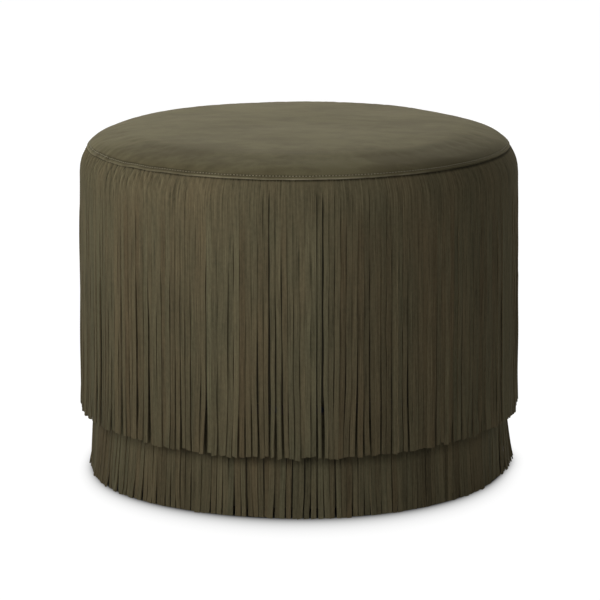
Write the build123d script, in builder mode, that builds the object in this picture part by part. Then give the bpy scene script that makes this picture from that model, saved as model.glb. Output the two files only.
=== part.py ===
from build123d import *
import os
from math import acos, atan2, cos, degrees, hypot, pi, radians, sin, sqrt

# Round ottoman: a crowned leather seat on a padded drum, with two tiers of leather fringe round it.
# Millimetres, +Z up. The origin is on the floor, in the middle of the drum.

# Padded drum
seat_height = 430.0  # floor to the middle of the seat
drum_radius = 271.5  # padded side where it is widest
shoulder_radius = 52.0  # rounded edge between the seat and the side
crown_rise = 5.0  # middle of the seat above the top of the shoulder
seam_angle = 35.0  # how far round the shoulder, above level, the cover's edge lies
fit_gap = 0.2  # between layers that lie on each other
screw_gap = 0.05  # all round a screw, nail or tack in its hole

# Seat cover and what lies under it
cover_leather = 1.3
hem_width = 9.0  # turned-under edge of the cover
batting_thickness = 8.0
foam_depth = 80.0  # seat pad, at its middle
side_foam = 12.0  # wrap round the wall
pad_bottom = 145.0  # lower edge of that wrap
lining = 0.8  # sleeve over the wrap, and on down the wall

# Fringe
fringe_leather = 1.8
strip_pitch = 6.85  # one strip and one slit
slit_width = 0.8
panels_per_tier = 8
upper_tuck = 8.0  # upper band sewn in under the cover's hem
upper_band = 15.0  # uncut band below the hem
upper_tip_height = 80.0
upper_flare = 4.0  # how far the upper tips stand out past the drum
lower_band = 28.0  # uncut band that is tacked to the wall
lower_tip_height = 3.0
lower_flare = 8.0  # how far the lower tips stand out past their band
tack_strip = 1.2
tack_strip_width = 12.0
strip_drop = 4.0  # top of the lower band to the top of the tack strip

# Frame
plywood = 18.0
wall_board = 4.0
board_joint = 1.0  # where the bent board's two ends meet
post_count = 8
post_width = 45.0
post_depth = 30.0
vent_radius = 12.5
vent_count = 8
vent_circle = 120.0

# Screws, nails and tacks
screw_radius = 2.25
screw_head_radius = 4.5
screw_length = 50.0
screw_tip = 6.0
screw_spread = 24.0  # between the two screws at each end of a post
nail_radius = 1.0
nail_head_radius = 2.5
nail_head = 1.0
nail_length = 22.0
nail_spread = 20.0  # between the two rows of nails on a post
nail_rows = 4
nail_margin = 50.0  # from a post's end to its nearest nail
tack_radius = 0.9
tack_head_radius = 4.0
tack_head = 1.0
tack_tip = 2.0
fringe_tacks_per_panel = 4
dust_tack_count = 24
dust_tack_length = 10.0

# Underside
glide_count = 6
glide_height = 13.0
glide_radius = 17.5
glide_bevel = 2.0
glide_inset = 44.0  # from the base's edge to the middle of a glide
glide_recess = 6.0
glide_recess_radius = 5.5
glide_screw_length = 22.0
glide_screw_head = 3.0
dust_cover = 0.6
dust_margin = 11.0  # from the base's edge to the edge of the dust cover
dust_tack_edge = 8.0  # from the dust cover's edge to its tacks
lining_past_tacks = 8.0  # how far the lining turns in past those tacks

# The drum's outline: a shallow crown arc that runs into the shoulder arc. A layer's inset is its depth below it.
shoulder_middle = drum_radius - shoulder_radius
shoulder_height = seat_height - crown_rise - shoulder_radius
crown_radius = (shoulder_middle**2 + crown_rise**2 + 2 * crown_rise * shoulder_radius) / (2 * crown_rise)
crown_centre = seat_height - crown_radius
lip_angle = degrees(atan2(shoulder_height - crown_centre, shoulder_middle))

# How deep each layer lies under the outline
cover_under = cover_leather + fit_gap
hem_under = 2 * cover_leather + fit_gap
fringe_under = hem_under + fringe_leather + fit_gap
lining_under = fringe_under + lining + fit_gap
foam_under = cover_under + batting_thickness + fit_gap

# Radii from the padding inwards
side_foam_radius = drum_radius - lining_under
wall_radius = side_foam_radius - side_foam - fit_gap
disc_radius = wall_radius - wall_board - fit_gap
lining_radius = wall_radius + fit_gap + lining
lower_band_inside = lining_radius + fit_gap
lower_band_radius = lower_band_inside + fringe_leather
tack_strip_inside = lower_band_radius + fit_gap
tack_strip_radius = tack_strip_inside + tack_strip

# Heights from the floor up
dust_cover_bottom = glide_height
lining_bottom = dust_cover_bottom + dust_cover
base_bottom = lining_bottom + lining
base_top = base_bottom + plywood
deck_top = seat_height - foam_under - foam_depth
deck_bottom = deck_top - plywood
post_length = deck_bottom - base_top
lower_band_top = pad_bottom - lining - fit_gap
lower_slit_top = lower_band_top - lower_band
tack_strip_top = lower_band_top - strip_drop
fringe_tack_height = tack_strip_top - tack_strip_width / 2

# Angles round the drum
panel_angle = 360 / panels_per_tier
post_step = 360 / post_count
post_start = post_step / 2
fringe_tack_step = panel_angle / fringe_tacks_per_panel
post_face = sqrt(disc_radius**2 - (post_width / 2) ** 2) - fit_gap
post_circle = post_face - post_depth / 2

# Circles of fasteners under the base
glide_circle = disc_radius - glide_inset
dust_radius = disc_radius - dust_margin
dust_tack_circle = dust_radius - dust_tack_edge
lining_turn_radius = dust_tack_circle - lining_past_tacks


def upright(azimuth):
    """The half plane through the drum's axis at an azimuth: x runs outwards and y runs up."""
    turn = radians(azimuth)
    return Plane(origin=(0, 0, 0), x_dir=(cos(turn), sin(turn), 0), z_dir=(sin(turn), -cos(turn), 0))


def shoulder_point(angle, inset):
    """A point on the shoulder arc of the layer at this inset."""
    reach = shoulder_radius - inset
    return (shoulder_middle + reach * cos(radians(angle)), shoulder_height + reach * sin(radians(angle)))


def shoulder_arc(inset, low_angle, high_angle):
    """Draws the shoulder of the layer at this inset between two angles."""
    CenterArc((shoulder_middle, shoulder_height), shoulder_radius - inset, low_angle, high_angle - low_angle)


def crown_arc(inset):
    """Draws the crown of the layer at this inset, from the drum's axis to the shoulder."""
    CenterArc((0, crown_centre), crown_radius - inset, lip_angle, 90 - lip_angle)


def along_shoulder(length):
    """The angle that a length along the shoulder takes up."""
    return degrees(length / shoulder_radius)


def strips_in_panel(radius):
    """How many strips of one pitch a panel at this radius is cut into."""
    return round(2 * pi * radius / strip_pitch / panels_per_tier)


def cut_slits(radius, slit_top):
    """Cuts the panel in hand into strips, from its tips up to the uncut band."""
    strips = strips_in_panel(radius)
    step = panel_angle / strips
    with PolarLocations(radius, strips - 1, start_angle=step, angular_range=panel_angle - step):
        Box(
            2 * shoulder_radius, slit_width, slit_top,
            align=(Align.CENTER, Align.CENTER, Align.MIN), mode=Mode.SUBTRACT,
        )


def keep(piece, name):
    """Names a finished piece and writes it."""
    piece.part.label = name
    export_step(piece.part, f"parts/{name}.step")


def keep_round(piece, name, count):
    """Writes copies of a piece evenly round the drum, each as a piece of its own."""
    for index in range(count):
        with BuildPart() as copy_piece:
            with Locations(Location((0, 0, 0), (0, 0, index * 360 / count))):
                add(piece.part)
        keep(copy_piece, f"{name}_{index + 1}")


os.makedirs("parts", exist_ok=True)

# Seat cover: crowned leather panel with its edge turned under
hem_angle = seam_angle + along_shoulder(hem_width)
fold_angle = seam_angle - along_shoulder(cover_leather)
with BuildPart() as seat_cover:
    with BuildSketch(Plane.XZ):
        with BuildLine():
            crown_arc(0)
            shoulder_arc(0, seam_angle, lip_angle)
            ThreePointArc(
                shoulder_point(seam_angle, 0),
                shoulder_point(fold_angle, cover_leather),
                shoulder_point(seam_angle, 2 * cover_leather),
            )
            shoulder_arc(2 * cover_leather, seam_angle, hem_angle)
            Line(shoulder_point(hem_angle, 2 * cover_leather), shoulder_point(hem_angle, cover_leather))
            shoulder_arc(cover_leather, hem_angle, lip_angle)
            crown_arc(cover_leather)
            Line((0, seat_height - cover_leather), (0, seat_height))
        make_face()
    revolve(axis=Axis.Z)
keep(seat_cover, "seat_cover")

# Batting: full thickness on top, thinner down the side where the band and the lining are sewn in
band_top_angle = seam_angle + along_shoulder(max(upper_tuck, hem_width))
batting_step = band_top_angle + along_shoulder(batting_thickness) / 2
batting_inside = foam_under - fit_gap
batting_bottom = deck_top + fit_gap
with BuildPart() as seat_batting:
    with BuildSketch(Plane.XZ):
        with BuildLine():
            crown_arc(cover_under)
            shoulder_arc(cover_under, batting_step, lip_angle)
            Line(shoulder_point(batting_step, cover_under), shoulder_point(batting_step, lining_under))
            shoulder_arc(lining_under, 0, batting_step)
            Polyline(
                (side_foam_radius, shoulder_height),
                (side_foam_radius, batting_bottom),
                (drum_radius - batting_inside, batting_bottom),
                (drum_radius - batting_inside, shoulder_height),
            )
            shoulder_arc(batting_inside, 0, lip_angle)
            crown_arc(batting_inside)
            Line((0, seat_height - batting_inside), (0, seat_height - cover_under))
        make_face()
    revolve(axis=Axis.Z)
keep(seat_batting, "seat_batting")

# Seat foam: crowned pad that overhangs the deck to the drum's edge
with BuildPart() as seat_foam:
    with BuildSketch(Plane.XZ):
        with BuildLine():
            crown_arc(foam_under)
            shoulder_arc(foam_under, 0, lip_angle)
            Polyline(
                (drum_radius - foam_under, shoulder_height),
                (drum_radius - foam_under, deck_top),
                (0, deck_top),
                (0, seat_height - foam_under),
            )
        make_face()
    revolve(axis=Axis.Z)
keep(seat_foam, "seat_foam")

# Wood screw, head upwards, with the top of its head at the origin
screw_head = screw_head_radius - screw_radius
with BuildPart() as wood_screw:
    with BuildSketch(Plane.XZ):
        with BuildLine():
            Polyline(
                (0, 0),
                (screw_head_radius, 0),
                (screw_radius, -screw_head),
                (screw_radius, screw_tip - screw_length),
                (0, -screw_length),
                close=True,
            )
        make_face()
    revolve(axis=Axis.Z)

post_ring = PolarLocations(post_circle, post_count, start_angle=post_start).local_locations
screw_pair = [Location((0, side * screw_spread / 2, 0)) for side in (-1, 1)]
screw_spots = [place * shift for place in post_ring for shift in screw_pair]
deck_level = Location((0, 0, deck_top))
base_level = Location((0, 0, base_bottom), (180, 0, 0))
screw_hole = screw_radius + screw_gap
sink_radius = screw_head_radius + 2 * screw_gap

# Seat deck: plywood disc with countersunk screw holes and vents that let the foam breathe
with BuildPart() as seat_deck:
    with BuildSketch(Plane.XY.offset(deck_bottom)):
        Circle(disc_radius)
        with PolarLocations(vent_circle, vent_count):
            Circle(vent_radius, mode=Mode.SUBTRACT)
        Circle(vent_radius, mode=Mode.SUBTRACT)
    extrude(amount=plywood)
    with Locations(*[deck_level * spot for spot in screw_spots]):
        CounterSinkHole(screw_hole, sink_radius, counter_sink_angle=90)
keep(seat_deck, "seat_deck")

with BuildPart() as deck_screws:
    with Locations(*[deck_level * spot for spot in screw_spots]):
        add(wood_screw.part)
keep(deck_screws, "deck_screws")

# Posts: upright battens from the base to the deck, with pilot holes for the screws and nails
nail_pitch = (post_length - 2 * nail_margin) / (nail_rows - 1)
nail_heights = [nail_margin + row * nail_pitch for row in range(nail_rows)]
screw_depth = screw_length - plywood + screw_gap
nail_depth = nail_length - (wall_radius - nail_head - post_face) + 2 * fit_gap
with BuildPart(Plane.XY.offset(base_top)) as first_post:
    with PolarLocations(post_circle, 1, start_angle=post_start):
        Box(post_depth, post_width, post_length, align=(Align.CENTER, Align.CENTER, Align.MIN))
        with Locations(*screw_pair):
            Cylinder(
                screw_hole, screw_depth,
                align=(Align.CENTER, Align.CENTER, Align.MIN), mode=Mode.SUBTRACT,
            )
        with Locations((0, 0, post_length)):
            with Locations(*screw_pair):
                Cylinder(
                    screw_hole, screw_depth,
                    align=(Align.CENTER, Align.CENTER, Align.MAX), mode=Mode.SUBTRACT,
                )
        with Locations(*[(post_depth / 2, side * nail_spread / 2, z) for side in (-1, 1) for z in nail_heights]):
            Cylinder(
                nail_radius + screw_gap, nail_depth, rotation=(0, 90, 0),
                align=(Align.CENTER, Align.CENTER, Align.MAX), mode=Mode.SUBTRACT,
            )
keep_round(first_post, "post", post_count)

# Base panel: plywood disc, drilled from below for the post screws, the glides and the dust cover's tacks
glide_ring = PolarLocations(glide_circle, glide_count).local_locations
dust_tack_ring = PolarLocations(dust_tack_circle, dust_tack_count).local_locations
glide_screw_reach = glide_recess + glide_screw_length - base_bottom
dust_tack_reach = dust_tack_length + dust_cover_bottom - base_bottom
with BuildPart() as base_panel:
    with BuildSketch(Plane.XY.offset(base_bottom)):
        Circle(disc_radius)
    extrude(amount=plywood)
    with Locations(*[base_level * spot for spot in screw_spots]):
        CounterSinkHole(screw_hole, sink_radius, counter_sink_angle=90)
    with Locations(*[base_level * spot for spot in glide_ring]):
        Hole(screw_hole, depth=glide_screw_reach + screw_gap)
    with Locations(*[base_level * spot for spot in dust_tack_ring]):
        Hole(tack_radius + screw_gap, depth=dust_tack_reach + screw_gap)
keep(base_panel, "base_panel")

with BuildPart() as base_screws:
    with Locations(*[base_level * spot for spot in screw_spots]):
        add(wood_screw.part)
keep(base_screws, "base_screws")

# Nails through the wall board into the posts, with their heads sunk level with the board
nail_face = sqrt(wall_radius**2 - (nail_spread / 2 + nail_head_radius) ** 2) - fit_gap
nail_shift = nail_face - post_circle
nail_spots = [
    place * Location((nail_shift, side * nail_spread / 2, base_top + z), (0, 90, 0))
    for place in post_ring
    for side in (-1, 1)
    for z in nail_heights
]
with BuildPart() as nail:
    Cylinder(nail_head_radius, nail_head, align=(Align.CENTER, Align.CENTER, Align.MAX))
    Cylinder(nail_radius, nail_length, align=(Align.CENTER, Align.CENTER, Align.MAX))

with BuildPart() as wall_nails:
    with Locations(*nail_spots):
        add(nail.part)
keep(wall_nails, "wall_nails")

# Upholstery tack, head upwards, with the underside of its head at the origin
def tack(length):
    """A tack of this shank length."""
    with BuildPart() as piece:
        with BuildSketch(Plane.XZ):
            with BuildLine():
                Polyline(
                    (0, tack_head),
                    (tack_radius, tack_head),
                    (tack_head_radius, 0),
                    (tack_radius, 0),
                    (tack_radius, tack_tip - length),
                    (0, -length),
                    close=True,
                )
            make_face()
        revolve(axis=Axis.Z)
    return piece.part


fringe_tack_count = panels_per_tier * fringe_tacks_per_panel
fringe_tack_length = tack_strip_radius - wall_radius + wall_board - fit_gap
fringe_tack_spots = [
    Location((0, 0, fringe_tack_height)) * place * Location((0, 0, 0), (0, 90, 0))
    for place in PolarLocations(
        tack_strip_radius, fringe_tack_count, start_angle=fringe_tack_step / 2
    ).local_locations
]
dust_tack_spots = [Location((0, 0, dust_cover_bottom), (180, 0, 0)) * place for place in dust_tack_ring]


def tack_holes(spots, length):
    """Drills the piece in hand for tacks of this length."""
    with Locations(*spots):
        Cylinder(
            tack_radius + screw_gap, 2 * length,
            align=(Align.CENTER, Align.CENTER, Align.CENTER), mode=Mode.SUBTRACT,
        )


# Wall board: thin board bent round the posts, its ends meeting on the first post
with BuildPart() as wall_skin:
    with BuildSketch(Plane.XY.offset(base_bottom)):
        Circle(wall_radius)
        Circle(wall_radius - wall_board, mode=Mode.SUBTRACT)
        with PolarLocations(wall_radius, 1, start_angle=post_start):
            Rectangle(3 * wall_board, board_joint, mode=Mode.SUBTRACT)
    extrude(amount=deck_top - base_bottom)
    with Locations(*nail_spots):
        Cylinder(
            nail_head_radius + screw_gap, 2 * (nail_head + fit_gap),
            align=(Align.CENTER, Align.CENTER, Align.CENTER), mode=Mode.SUBTRACT,
        )
        Cylinder(
            nail_radius + screw_gap, nail_length,
            align=(Align.CENTER, Align.CENTER, Align.MAX), mode=Mode.SUBTRACT,
        )
    tack_holes(fringe_tack_spots, fringe_tack_length)
keep(wall_skin, "wall_board")

# Side foam: wrap round the upper wall, level with the deck
with BuildPart() as side_wrap:
    with BuildSketch(Plane.XY.offset(pad_bottom)):
        Circle(side_foam_radius)
        Circle(side_foam_radius - side_foam, mode=Mode.SUBTRACT)
    extrude(amount=deck_top - pad_bottom)
keep(side_wrap, "side_foam")

# Lining: sleeve from the seam over the foam, in under it, down the wall and round under the base
lining_top_angle = seam_angle + along_shoulder(upper_tuck)
lining_outside = drum_radius - fringe_under
lining_inside = lining_outside - lining
with BuildPart() as side_lining:
    with BuildSketch(Plane.XZ):
        with BuildLine():
            shoulder_arc(fringe_under, 0, lining_top_angle)
            Polyline(
                (lining_outside, shoulder_height),
                (lining_outside, lower_band_top),
                (lining_radius, lower_band_top),
                (lining_radius, lining_bottom),
                (lining_turn_radius, lining_bottom),
                (lining_turn_radius, base_bottom),
                (lining_radius - lining, base_bottom),
                (lining_radius - lining, pad_bottom - fit_gap),
                (lining_inside, pad_bottom - fit_gap),
                (lining_inside, shoulder_height),
            )
            shoulder_arc(fringe_under + lining, 0, lining_top_angle)
            Line(
                shoulder_point(lining_top_angle, fringe_under + lining),
                shoulder_point(lining_top_angle, fringe_under),
            )
        make_face()
    revolve(axis=Axis.Z)
    tack_holes(fringe_tack_spots, fringe_tack_length)
    tack_holes(dust_tack_spots, dust_tack_length)
keep(side_lining, "side_lining")


def hang_angle(inset, tip_radius):
    """Where on the shoulder a strip leaves it to hang straight to its tip."""
    across = tip_radius - shoulder_middle
    down = upper_tip_height - shoulder_height
    return degrees(atan2(down, across) + acos((shoulder_radius - inset) / hypot(across, down)))


# Upper fringe: a band sewn in under the hem, that follows the shoulder and hangs in strips
upper_tip_radius = drum_radius + upper_flare
upper_top_angle = seam_angle + along_shoulder(upper_tuck)
upper_band_angle = seam_angle - along_shoulder(upper_band)
upper_slit_top = shoulder_point(upper_band_angle, hem_under)[1]
upper_inner = hem_under + fringe_leather
upper_tip_inside = upper_tip_radius - fringe_leather
outer_hang = hang_angle(hem_under, upper_tip_radius)
inner_hang = hang_angle(upper_inner, upper_tip_inside)
upper_slit_angle = degrees(slit_width / upper_tip_radius)
with BuildPart() as upper_fringe:
    with BuildSketch(upright(upper_slit_angle / 2)):
        with BuildLine():
            shoulder_arc(hem_under, outer_hang, upper_top_angle)
            Polyline(
                shoulder_point(outer_hang, hem_under),
                (upper_tip_radius, upper_tip_height),
                (upper_tip_inside, upper_tip_height),
                shoulder_point(inner_hang, upper_inner),
            )
            shoulder_arc(upper_inner, inner_hang, upper_top_angle)
            Line(shoulder_point(upper_top_angle, upper_inner), shoulder_point(upper_top_angle, hem_under))
        make_face()
    revolve(axis=Axis.Z, revolution_arc=panel_angle - upper_slit_angle)
    cut_slits(drum_radius, upper_slit_top)
keep_round(upper_fringe, "upper_fringe", panels_per_tier)

# Lower fringe: a band tacked to the wall, whose strips flare out towards the floor
lower_tip_radius = lower_band_radius + lower_flare
lower_slit_angle = degrees(slit_width / lower_band_radius)
with BuildPart() as lower_fringe:
    with BuildSketch(upright(lower_slit_angle / 2)):
        with BuildLine():
            TangentArc(
                (lower_band_radius, lower_slit_top), (lower_tip_radius, lower_tip_height), tangent=(0, -1)
            )
            TangentArc(
                (lower_band_inside, lower_slit_top),
                (lower_tip_radius - fringe_leather, lower_tip_height),
                tangent=(0, -1),
            )
            Line((lower_tip_radius, lower_tip_height), (lower_tip_radius - fringe_leather, lower_tip_height))
            Polyline(
                (lower_band_radius, lower_slit_top),
                (lower_band_radius, lower_band_top - fit_gap),
                (lower_band_inside, lower_band_top - fit_gap),
                (lower_band_inside, lower_slit_top),
            )
        make_face()
    revolve(axis=Axis.Z, revolution_arc=panel_angle - lower_slit_angle)
    cut_slits(lower_band_radius, lower_slit_top)
    tack_holes(fringe_tack_spots[:fringe_tacks_per_panel], fringe_tack_length)
keep_round(lower_fringe, "lower_fringe", panels_per_tier)

# Tack strip: stiff strip wound once round the lower band, so that the tacks don't tear the leather
with BuildPart() as fringe_tack_strip:
    with BuildSketch(Plane.XY.offset(tack_strip_top - tack_strip_width)):
        Circle(tack_strip_radius)
        Circle(tack_strip_inside, mode=Mode.SUBTRACT)
        with PolarLocations(tack_strip_radius, 1):
            Rectangle(3 * tack_strip, board_joint, mode=Mode.SUBTRACT)
    extrude(amount=tack_strip_width)
    tack_holes(fringe_tack_spots, fringe_tack_length)
keep(fringe_tack_strip, "fringe_tack_strip")

fringe_tack = tack(fringe_tack_length)
with BuildPart() as fringe_tacks:
    with Locations(*fringe_tack_spots):
        add(fringe_tack)
keep(fringe_tacks, "fringe_tacks")

# Dust cover: thin cloth under the base, pierced for the glide screws and its own tacks
with BuildPart() as dust_sheet:
    with BuildSketch(Plane.XY.offset(dust_cover_bottom)):
        Circle(dust_radius)
        with PolarLocations(glide_circle, glide_count):
            Circle(screw_hole, mode=Mode.SUBTRACT)
    extrude(amount=dust_cover)
    tack_holes(dust_tack_spots, dust_tack_length)
keep(dust_sheet, "dust_cover")

dust_tack = tack(dust_tack_length)
with BuildPart() as dust_cover_tacks:
    with Locations(*dust_tack_spots):
        add(dust_tack)
keep(dust_cover_tacks, "dust_cover_tacks")

# Glides: round plastic feet with a sunk screw, which carry the weight clear of the fringe
with BuildPart() as first_glide:
    with BuildSketch(Plane.XZ):
        with BuildLine():
            Polyline(
                (glide_circle + glide_recess_radius, 0),
                (glide_circle + glide_radius - glide_bevel, 0),
                (glide_circle + glide_radius, glide_bevel),
                (glide_circle + glide_radius, glide_height),
                (glide_circle + screw_hole, glide_height),
                (glide_circle + screw_hole, glide_recess),
                (glide_circle + glide_recess_radius, glide_recess),
                close=True,
            )
        make_face()
    revolve(axis=Axis((glide_circle, 0, 0), (0, 0, 1)))
keep_round(first_glide, "glide", glide_count)

with BuildPart() as glide_screw:
    with BuildSketch(Plane.XZ):
        with BuildLine():
            Polyline(
                (0, glide_recess - glide_screw_head),
                (screw_head_radius, glide_recess - glide_screw_head),
                (screw_head_radius, glide_recess),
                (screw_radius, glide_recess),
                (screw_radius, glide_recess + glide_screw_length - screw_tip),
                (0, glide_recess + glide_screw_length),
                close=True,
            )
        make_face()
    revolve(axis=Axis.Z)

with BuildPart() as glide_screws:
    with Locations(*glide_ring):
        add(glide_screw.part)
keep(glide_screws, "glide_screws")
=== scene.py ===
from collections import namedtuple
from math import acos, atan2, ceil, cos, hypot, pi, radians, sin, sqrt
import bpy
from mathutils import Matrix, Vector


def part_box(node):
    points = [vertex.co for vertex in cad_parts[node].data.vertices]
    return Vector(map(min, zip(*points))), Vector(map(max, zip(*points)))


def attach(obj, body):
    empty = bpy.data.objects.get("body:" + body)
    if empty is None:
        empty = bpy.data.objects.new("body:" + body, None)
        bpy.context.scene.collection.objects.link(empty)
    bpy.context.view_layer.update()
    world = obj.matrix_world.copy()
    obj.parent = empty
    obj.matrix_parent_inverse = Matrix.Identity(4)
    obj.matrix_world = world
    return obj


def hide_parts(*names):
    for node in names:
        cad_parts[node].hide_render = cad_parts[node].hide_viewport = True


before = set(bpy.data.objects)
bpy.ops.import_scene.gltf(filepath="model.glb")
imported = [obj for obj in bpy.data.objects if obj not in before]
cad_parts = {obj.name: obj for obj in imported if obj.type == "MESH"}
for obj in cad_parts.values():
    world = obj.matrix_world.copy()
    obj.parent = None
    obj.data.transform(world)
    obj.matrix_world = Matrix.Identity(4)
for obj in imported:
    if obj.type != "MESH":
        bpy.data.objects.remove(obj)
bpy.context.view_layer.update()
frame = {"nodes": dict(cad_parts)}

from types import SimpleNamespace

import bpy
import numpy as np
from bpy.props import FloatProperty, FloatVectorProperty, IntProperty, PointerProperty
from bpy.types import Operator, Panel, PropertyGroup

bl_info = {
    "name": "Fringed Ottoman",
    "version": (1, 0, 0),
    "blender": (4, 5, 0),
    "location": "View3D > Sidebar > Ottoman",
    "description": "Dresses the ottoman's frame with its leather seat, fringe, padding and finishes",
    "category": "Add Mesh",
}

# The frame's own box, and the sizes that the looks take from it
PANELS = 8
SEAT_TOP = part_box("seat_cover")[1].z
DECK_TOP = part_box("seat_deck")[1].z
WALL_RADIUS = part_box("wall_board")[1].x
LINING_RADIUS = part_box("side_lining")[1].x
PAD_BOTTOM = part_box("side_foam")[0].z
BASE_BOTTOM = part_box("base_panel")[0].z
UPPER_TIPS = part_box("upper_fringe_1")[0].z
UPPER_TIP_RADIUS = max(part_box(f"upper_fringe_{number}")[1].x for number in range(1, PANELS + 1))
LOWER_TIPS, LOWER_BAND_TOP = (corner.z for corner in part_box("lower_fringe_1"))
LOWER_TIP_RADIUS = max(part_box(f"lower_fringe_{number}")[1].x for number in range(1, PANELS + 1))

# Room between two layers that lie on each other, and radius of the small hole that a crowned piece closes on
LAYER_GAP = 0.0002
HUB_RADIUS = 0.006

# Where the lower tier flares, how wide, how far its tips stand out and how still they hang there
Flare = namedtuple("Flare", "side width reach stillness")
FLARES = (
    Flare(side=radians(3), width=radians(13), reach=0.010, stillness=0.8),
    Flare(side=radians(-147), width=radians(22), reach=0.0065, stillness=0.1),
)


def length(name, text, default):
    """A size that a user can set."""
    return FloatProperty(name=name, description=text, default=default, unit="LENGTH", precision=5)


def angle(name, text, default):
    """An angle that a user can set, given here in degrees."""
    return FloatProperty(name=name, description=text, default=radians(default), subtype="ANGLE")


def share(name, text, default):
    """A plain number that a user can set."""
    return FloatProperty(name=name, description=text, default=default)


def power(name, text, default):
    """A lamp's power that a user can set, in watts."""
    return FloatProperty(name=name, description=text, default=default, unit="POWER")


def colour(name, text, red, green, blue):
    """A colour that a user can set, given here as it shows on a screen, 0 to 255."""
    shown = [value / 255 for value in (red, green, blue)]
    linear = [value / 12.92 if value <= 0.04045 else ((value + 0.055) / 1.055) ** 2.4 for value in shown]
    return FloatVectorProperty(
        name=name, description=text, default=linear, subtype="COLOR", size=3, min=0, max=1
    )


class SeatSizes(PropertyGroup):
    """Sizes of the seat cover and of the drum's outline."""

    shoulder_radius: length("Shoulder radius", "Rounded edge between the seat and the side", 0.052)
    crown_rise: length("Crown rise", "Middle of the seat above the top of the shoulder", 0.005)
    seam_angle: angle("Seam angle", "Where the cover's edge lies on the shoulder, above level", 39.2)
    layers_over_lining: length("Layers over lining", "From the drum's outline in to the lining", 0.0048)
    leather: length("Cover leather", "Thickness of the seat leather", 0.0013)
    skived: share("Skived edge", "Share of the leather's thickness left at its turned edge", 0.5)
    skive_reach: length("Skive reach", "Width over which the leather is thinned towards its edge", 0.03)
    hem: length("Hem", "Turned-under edge of the cover", 0.009)
    batting: length("Batting", "Thickness of the batting under the cover", 0.005)
    slack: share("Slack", "Share of extra leather that puckers at the seam", 0.006)
    settle_limit: length("Settle limit", "How far the leather may move as it settles", 0.0014)
    pucker: length("Pucker depth", "Depth of the small gathers along the seam", 0.0007)
    swell: length("Swell", "Height of the soft unevenness of the seat", 0.00035)
    stitch: length("Stitch", "Length of one stitch", 0.0024)
    stitch_step: length("Stitch step", "From one stitch to the next", 0.0038)
    stitch_inset: length("Stitch inset", "From the cover's edge up to the stitching", 0.0042)
    thread: length("Thread", "Thickness of the thread", 0.0010)
    slump: length("Slump", "How far the shoulder has sunk in front", 0.0017)
    seam_tilt: length("Seam tilt", "How much higher the seam runs on the right", 0.0011)
    bead: length("Bead", "How far the turned edge stands out below the stitching", 0.0003)
    gather_side: angle("Gather side", "Turn about the axis at which the seam gathers most", 215.0)
    # Painted shade: the turn about the axis at which the seat's shoulder is painted darker
    painted_shade_side: angle("Brushed side", "Turn about the axis at which the nap is brushed dark", -41.0)


class FringeLooks(PropertyGroup):
    """How the strips of one fringe tier hang."""

    thickness: length("Thickness", "Thickness of the fringe leather", 0.0017)
    strips: IntProperty(name="Strips", description="Strips in one panel", default=31, min=2)
    gap: length("Gap", "Usual gap between two strips where they hang free", 0.0005)
    slit_low: length("Slits from", "Least depth of uncut band below the edge", 0.003)
    slit_high: length("Slits to", "Most depth of uncut band below the edge", 0.022)
    lean: length("Lean", "How far single tips stray sideways", 0.00055)
    group_lean: length("Group lean", "How far tips stray sideways together", 0.0008)
    tip_lean: length("Tip lean", "How far the last part of a strip bends sideways", 0.0006)
    stand: length("Stand", "How far single tips stand out or in", 0.0003)
    group_stand: length("Group stand", "How far tips stand out or in together", 0.0005)
    twist: angle("Twist", "How far tips turn about their own length", 7.0)
    ragged: length("Ragged tips", "How uneven the tips are", 0.0010)
    cup: length("Cup", "How far a strip is hollow or full across its width", 0.00008)
    pucker: length("Pucker depth", "Depth of the gathers under the seam", 0.0006)
    tip_gap: share("Tip gap", "How much wider the slits are at the tips than higher up", 1.4)
    part_side: angle("Part side", "Turn about the axis at which the strips part most", 276.0)
    tone_spread: share("Tone spread", "How far strips differ in lightness", 0.065)


# Looks in which the lower tier differs from the upper one, whose looks are the defaults
LOWER_LOOKS = {
    "strips": 29,
    "gap": 0.0006,
    "tip_gap": 0.4,
    "slit_low": 0.0,
    "slit_high": 0.012,
    "lean": 0.0005,
    "group_lean": 0.0009,
    "tip_lean": 0.0004,
    "stand": 0.0005,
    "group_stand": 0.0009,
    "twist": radians(8),
    "ragged": 0.0004,
    "tone_spread": 0.11,
}


class LeatherColours(PropertyGroup):
    """Colours of the leather and its thread."""

    seat: colour("Seat", "Suede of the seat cover", 101, 95, 71)
    seat_deep: colour("Seat, brushed", "Suede where the nap lies the other way", 78, 71, 51)
    # Darker suede for random dark strokes and for the painted shade on the shoulder
    seat_dark: colour("Seat, rubbed dark", "Suede where the nap is flattened", 74, 68, 50)
    fringe: colour("Fringe", "Olive side of the fringe suede", 94, 89, 68)
    fringe_deep: colour("Fringe, brown", "Brown side of the fringe suede", 93, 82, 61)
    edge: colour("Cut edge", "Raw edge of a cut strip", 108, 100, 78)
    # Painted shade in the stitched groove above the seat's turned edge
    painted_groove_shade: colour("Needle row", "Leather pressed in by the stitching", 44, 39, 28)
    # Also the colour of the painted highlight along the seat's turned edge
    thread: colour("Thread", "Topstitching thread", 142, 134, 110)


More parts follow.
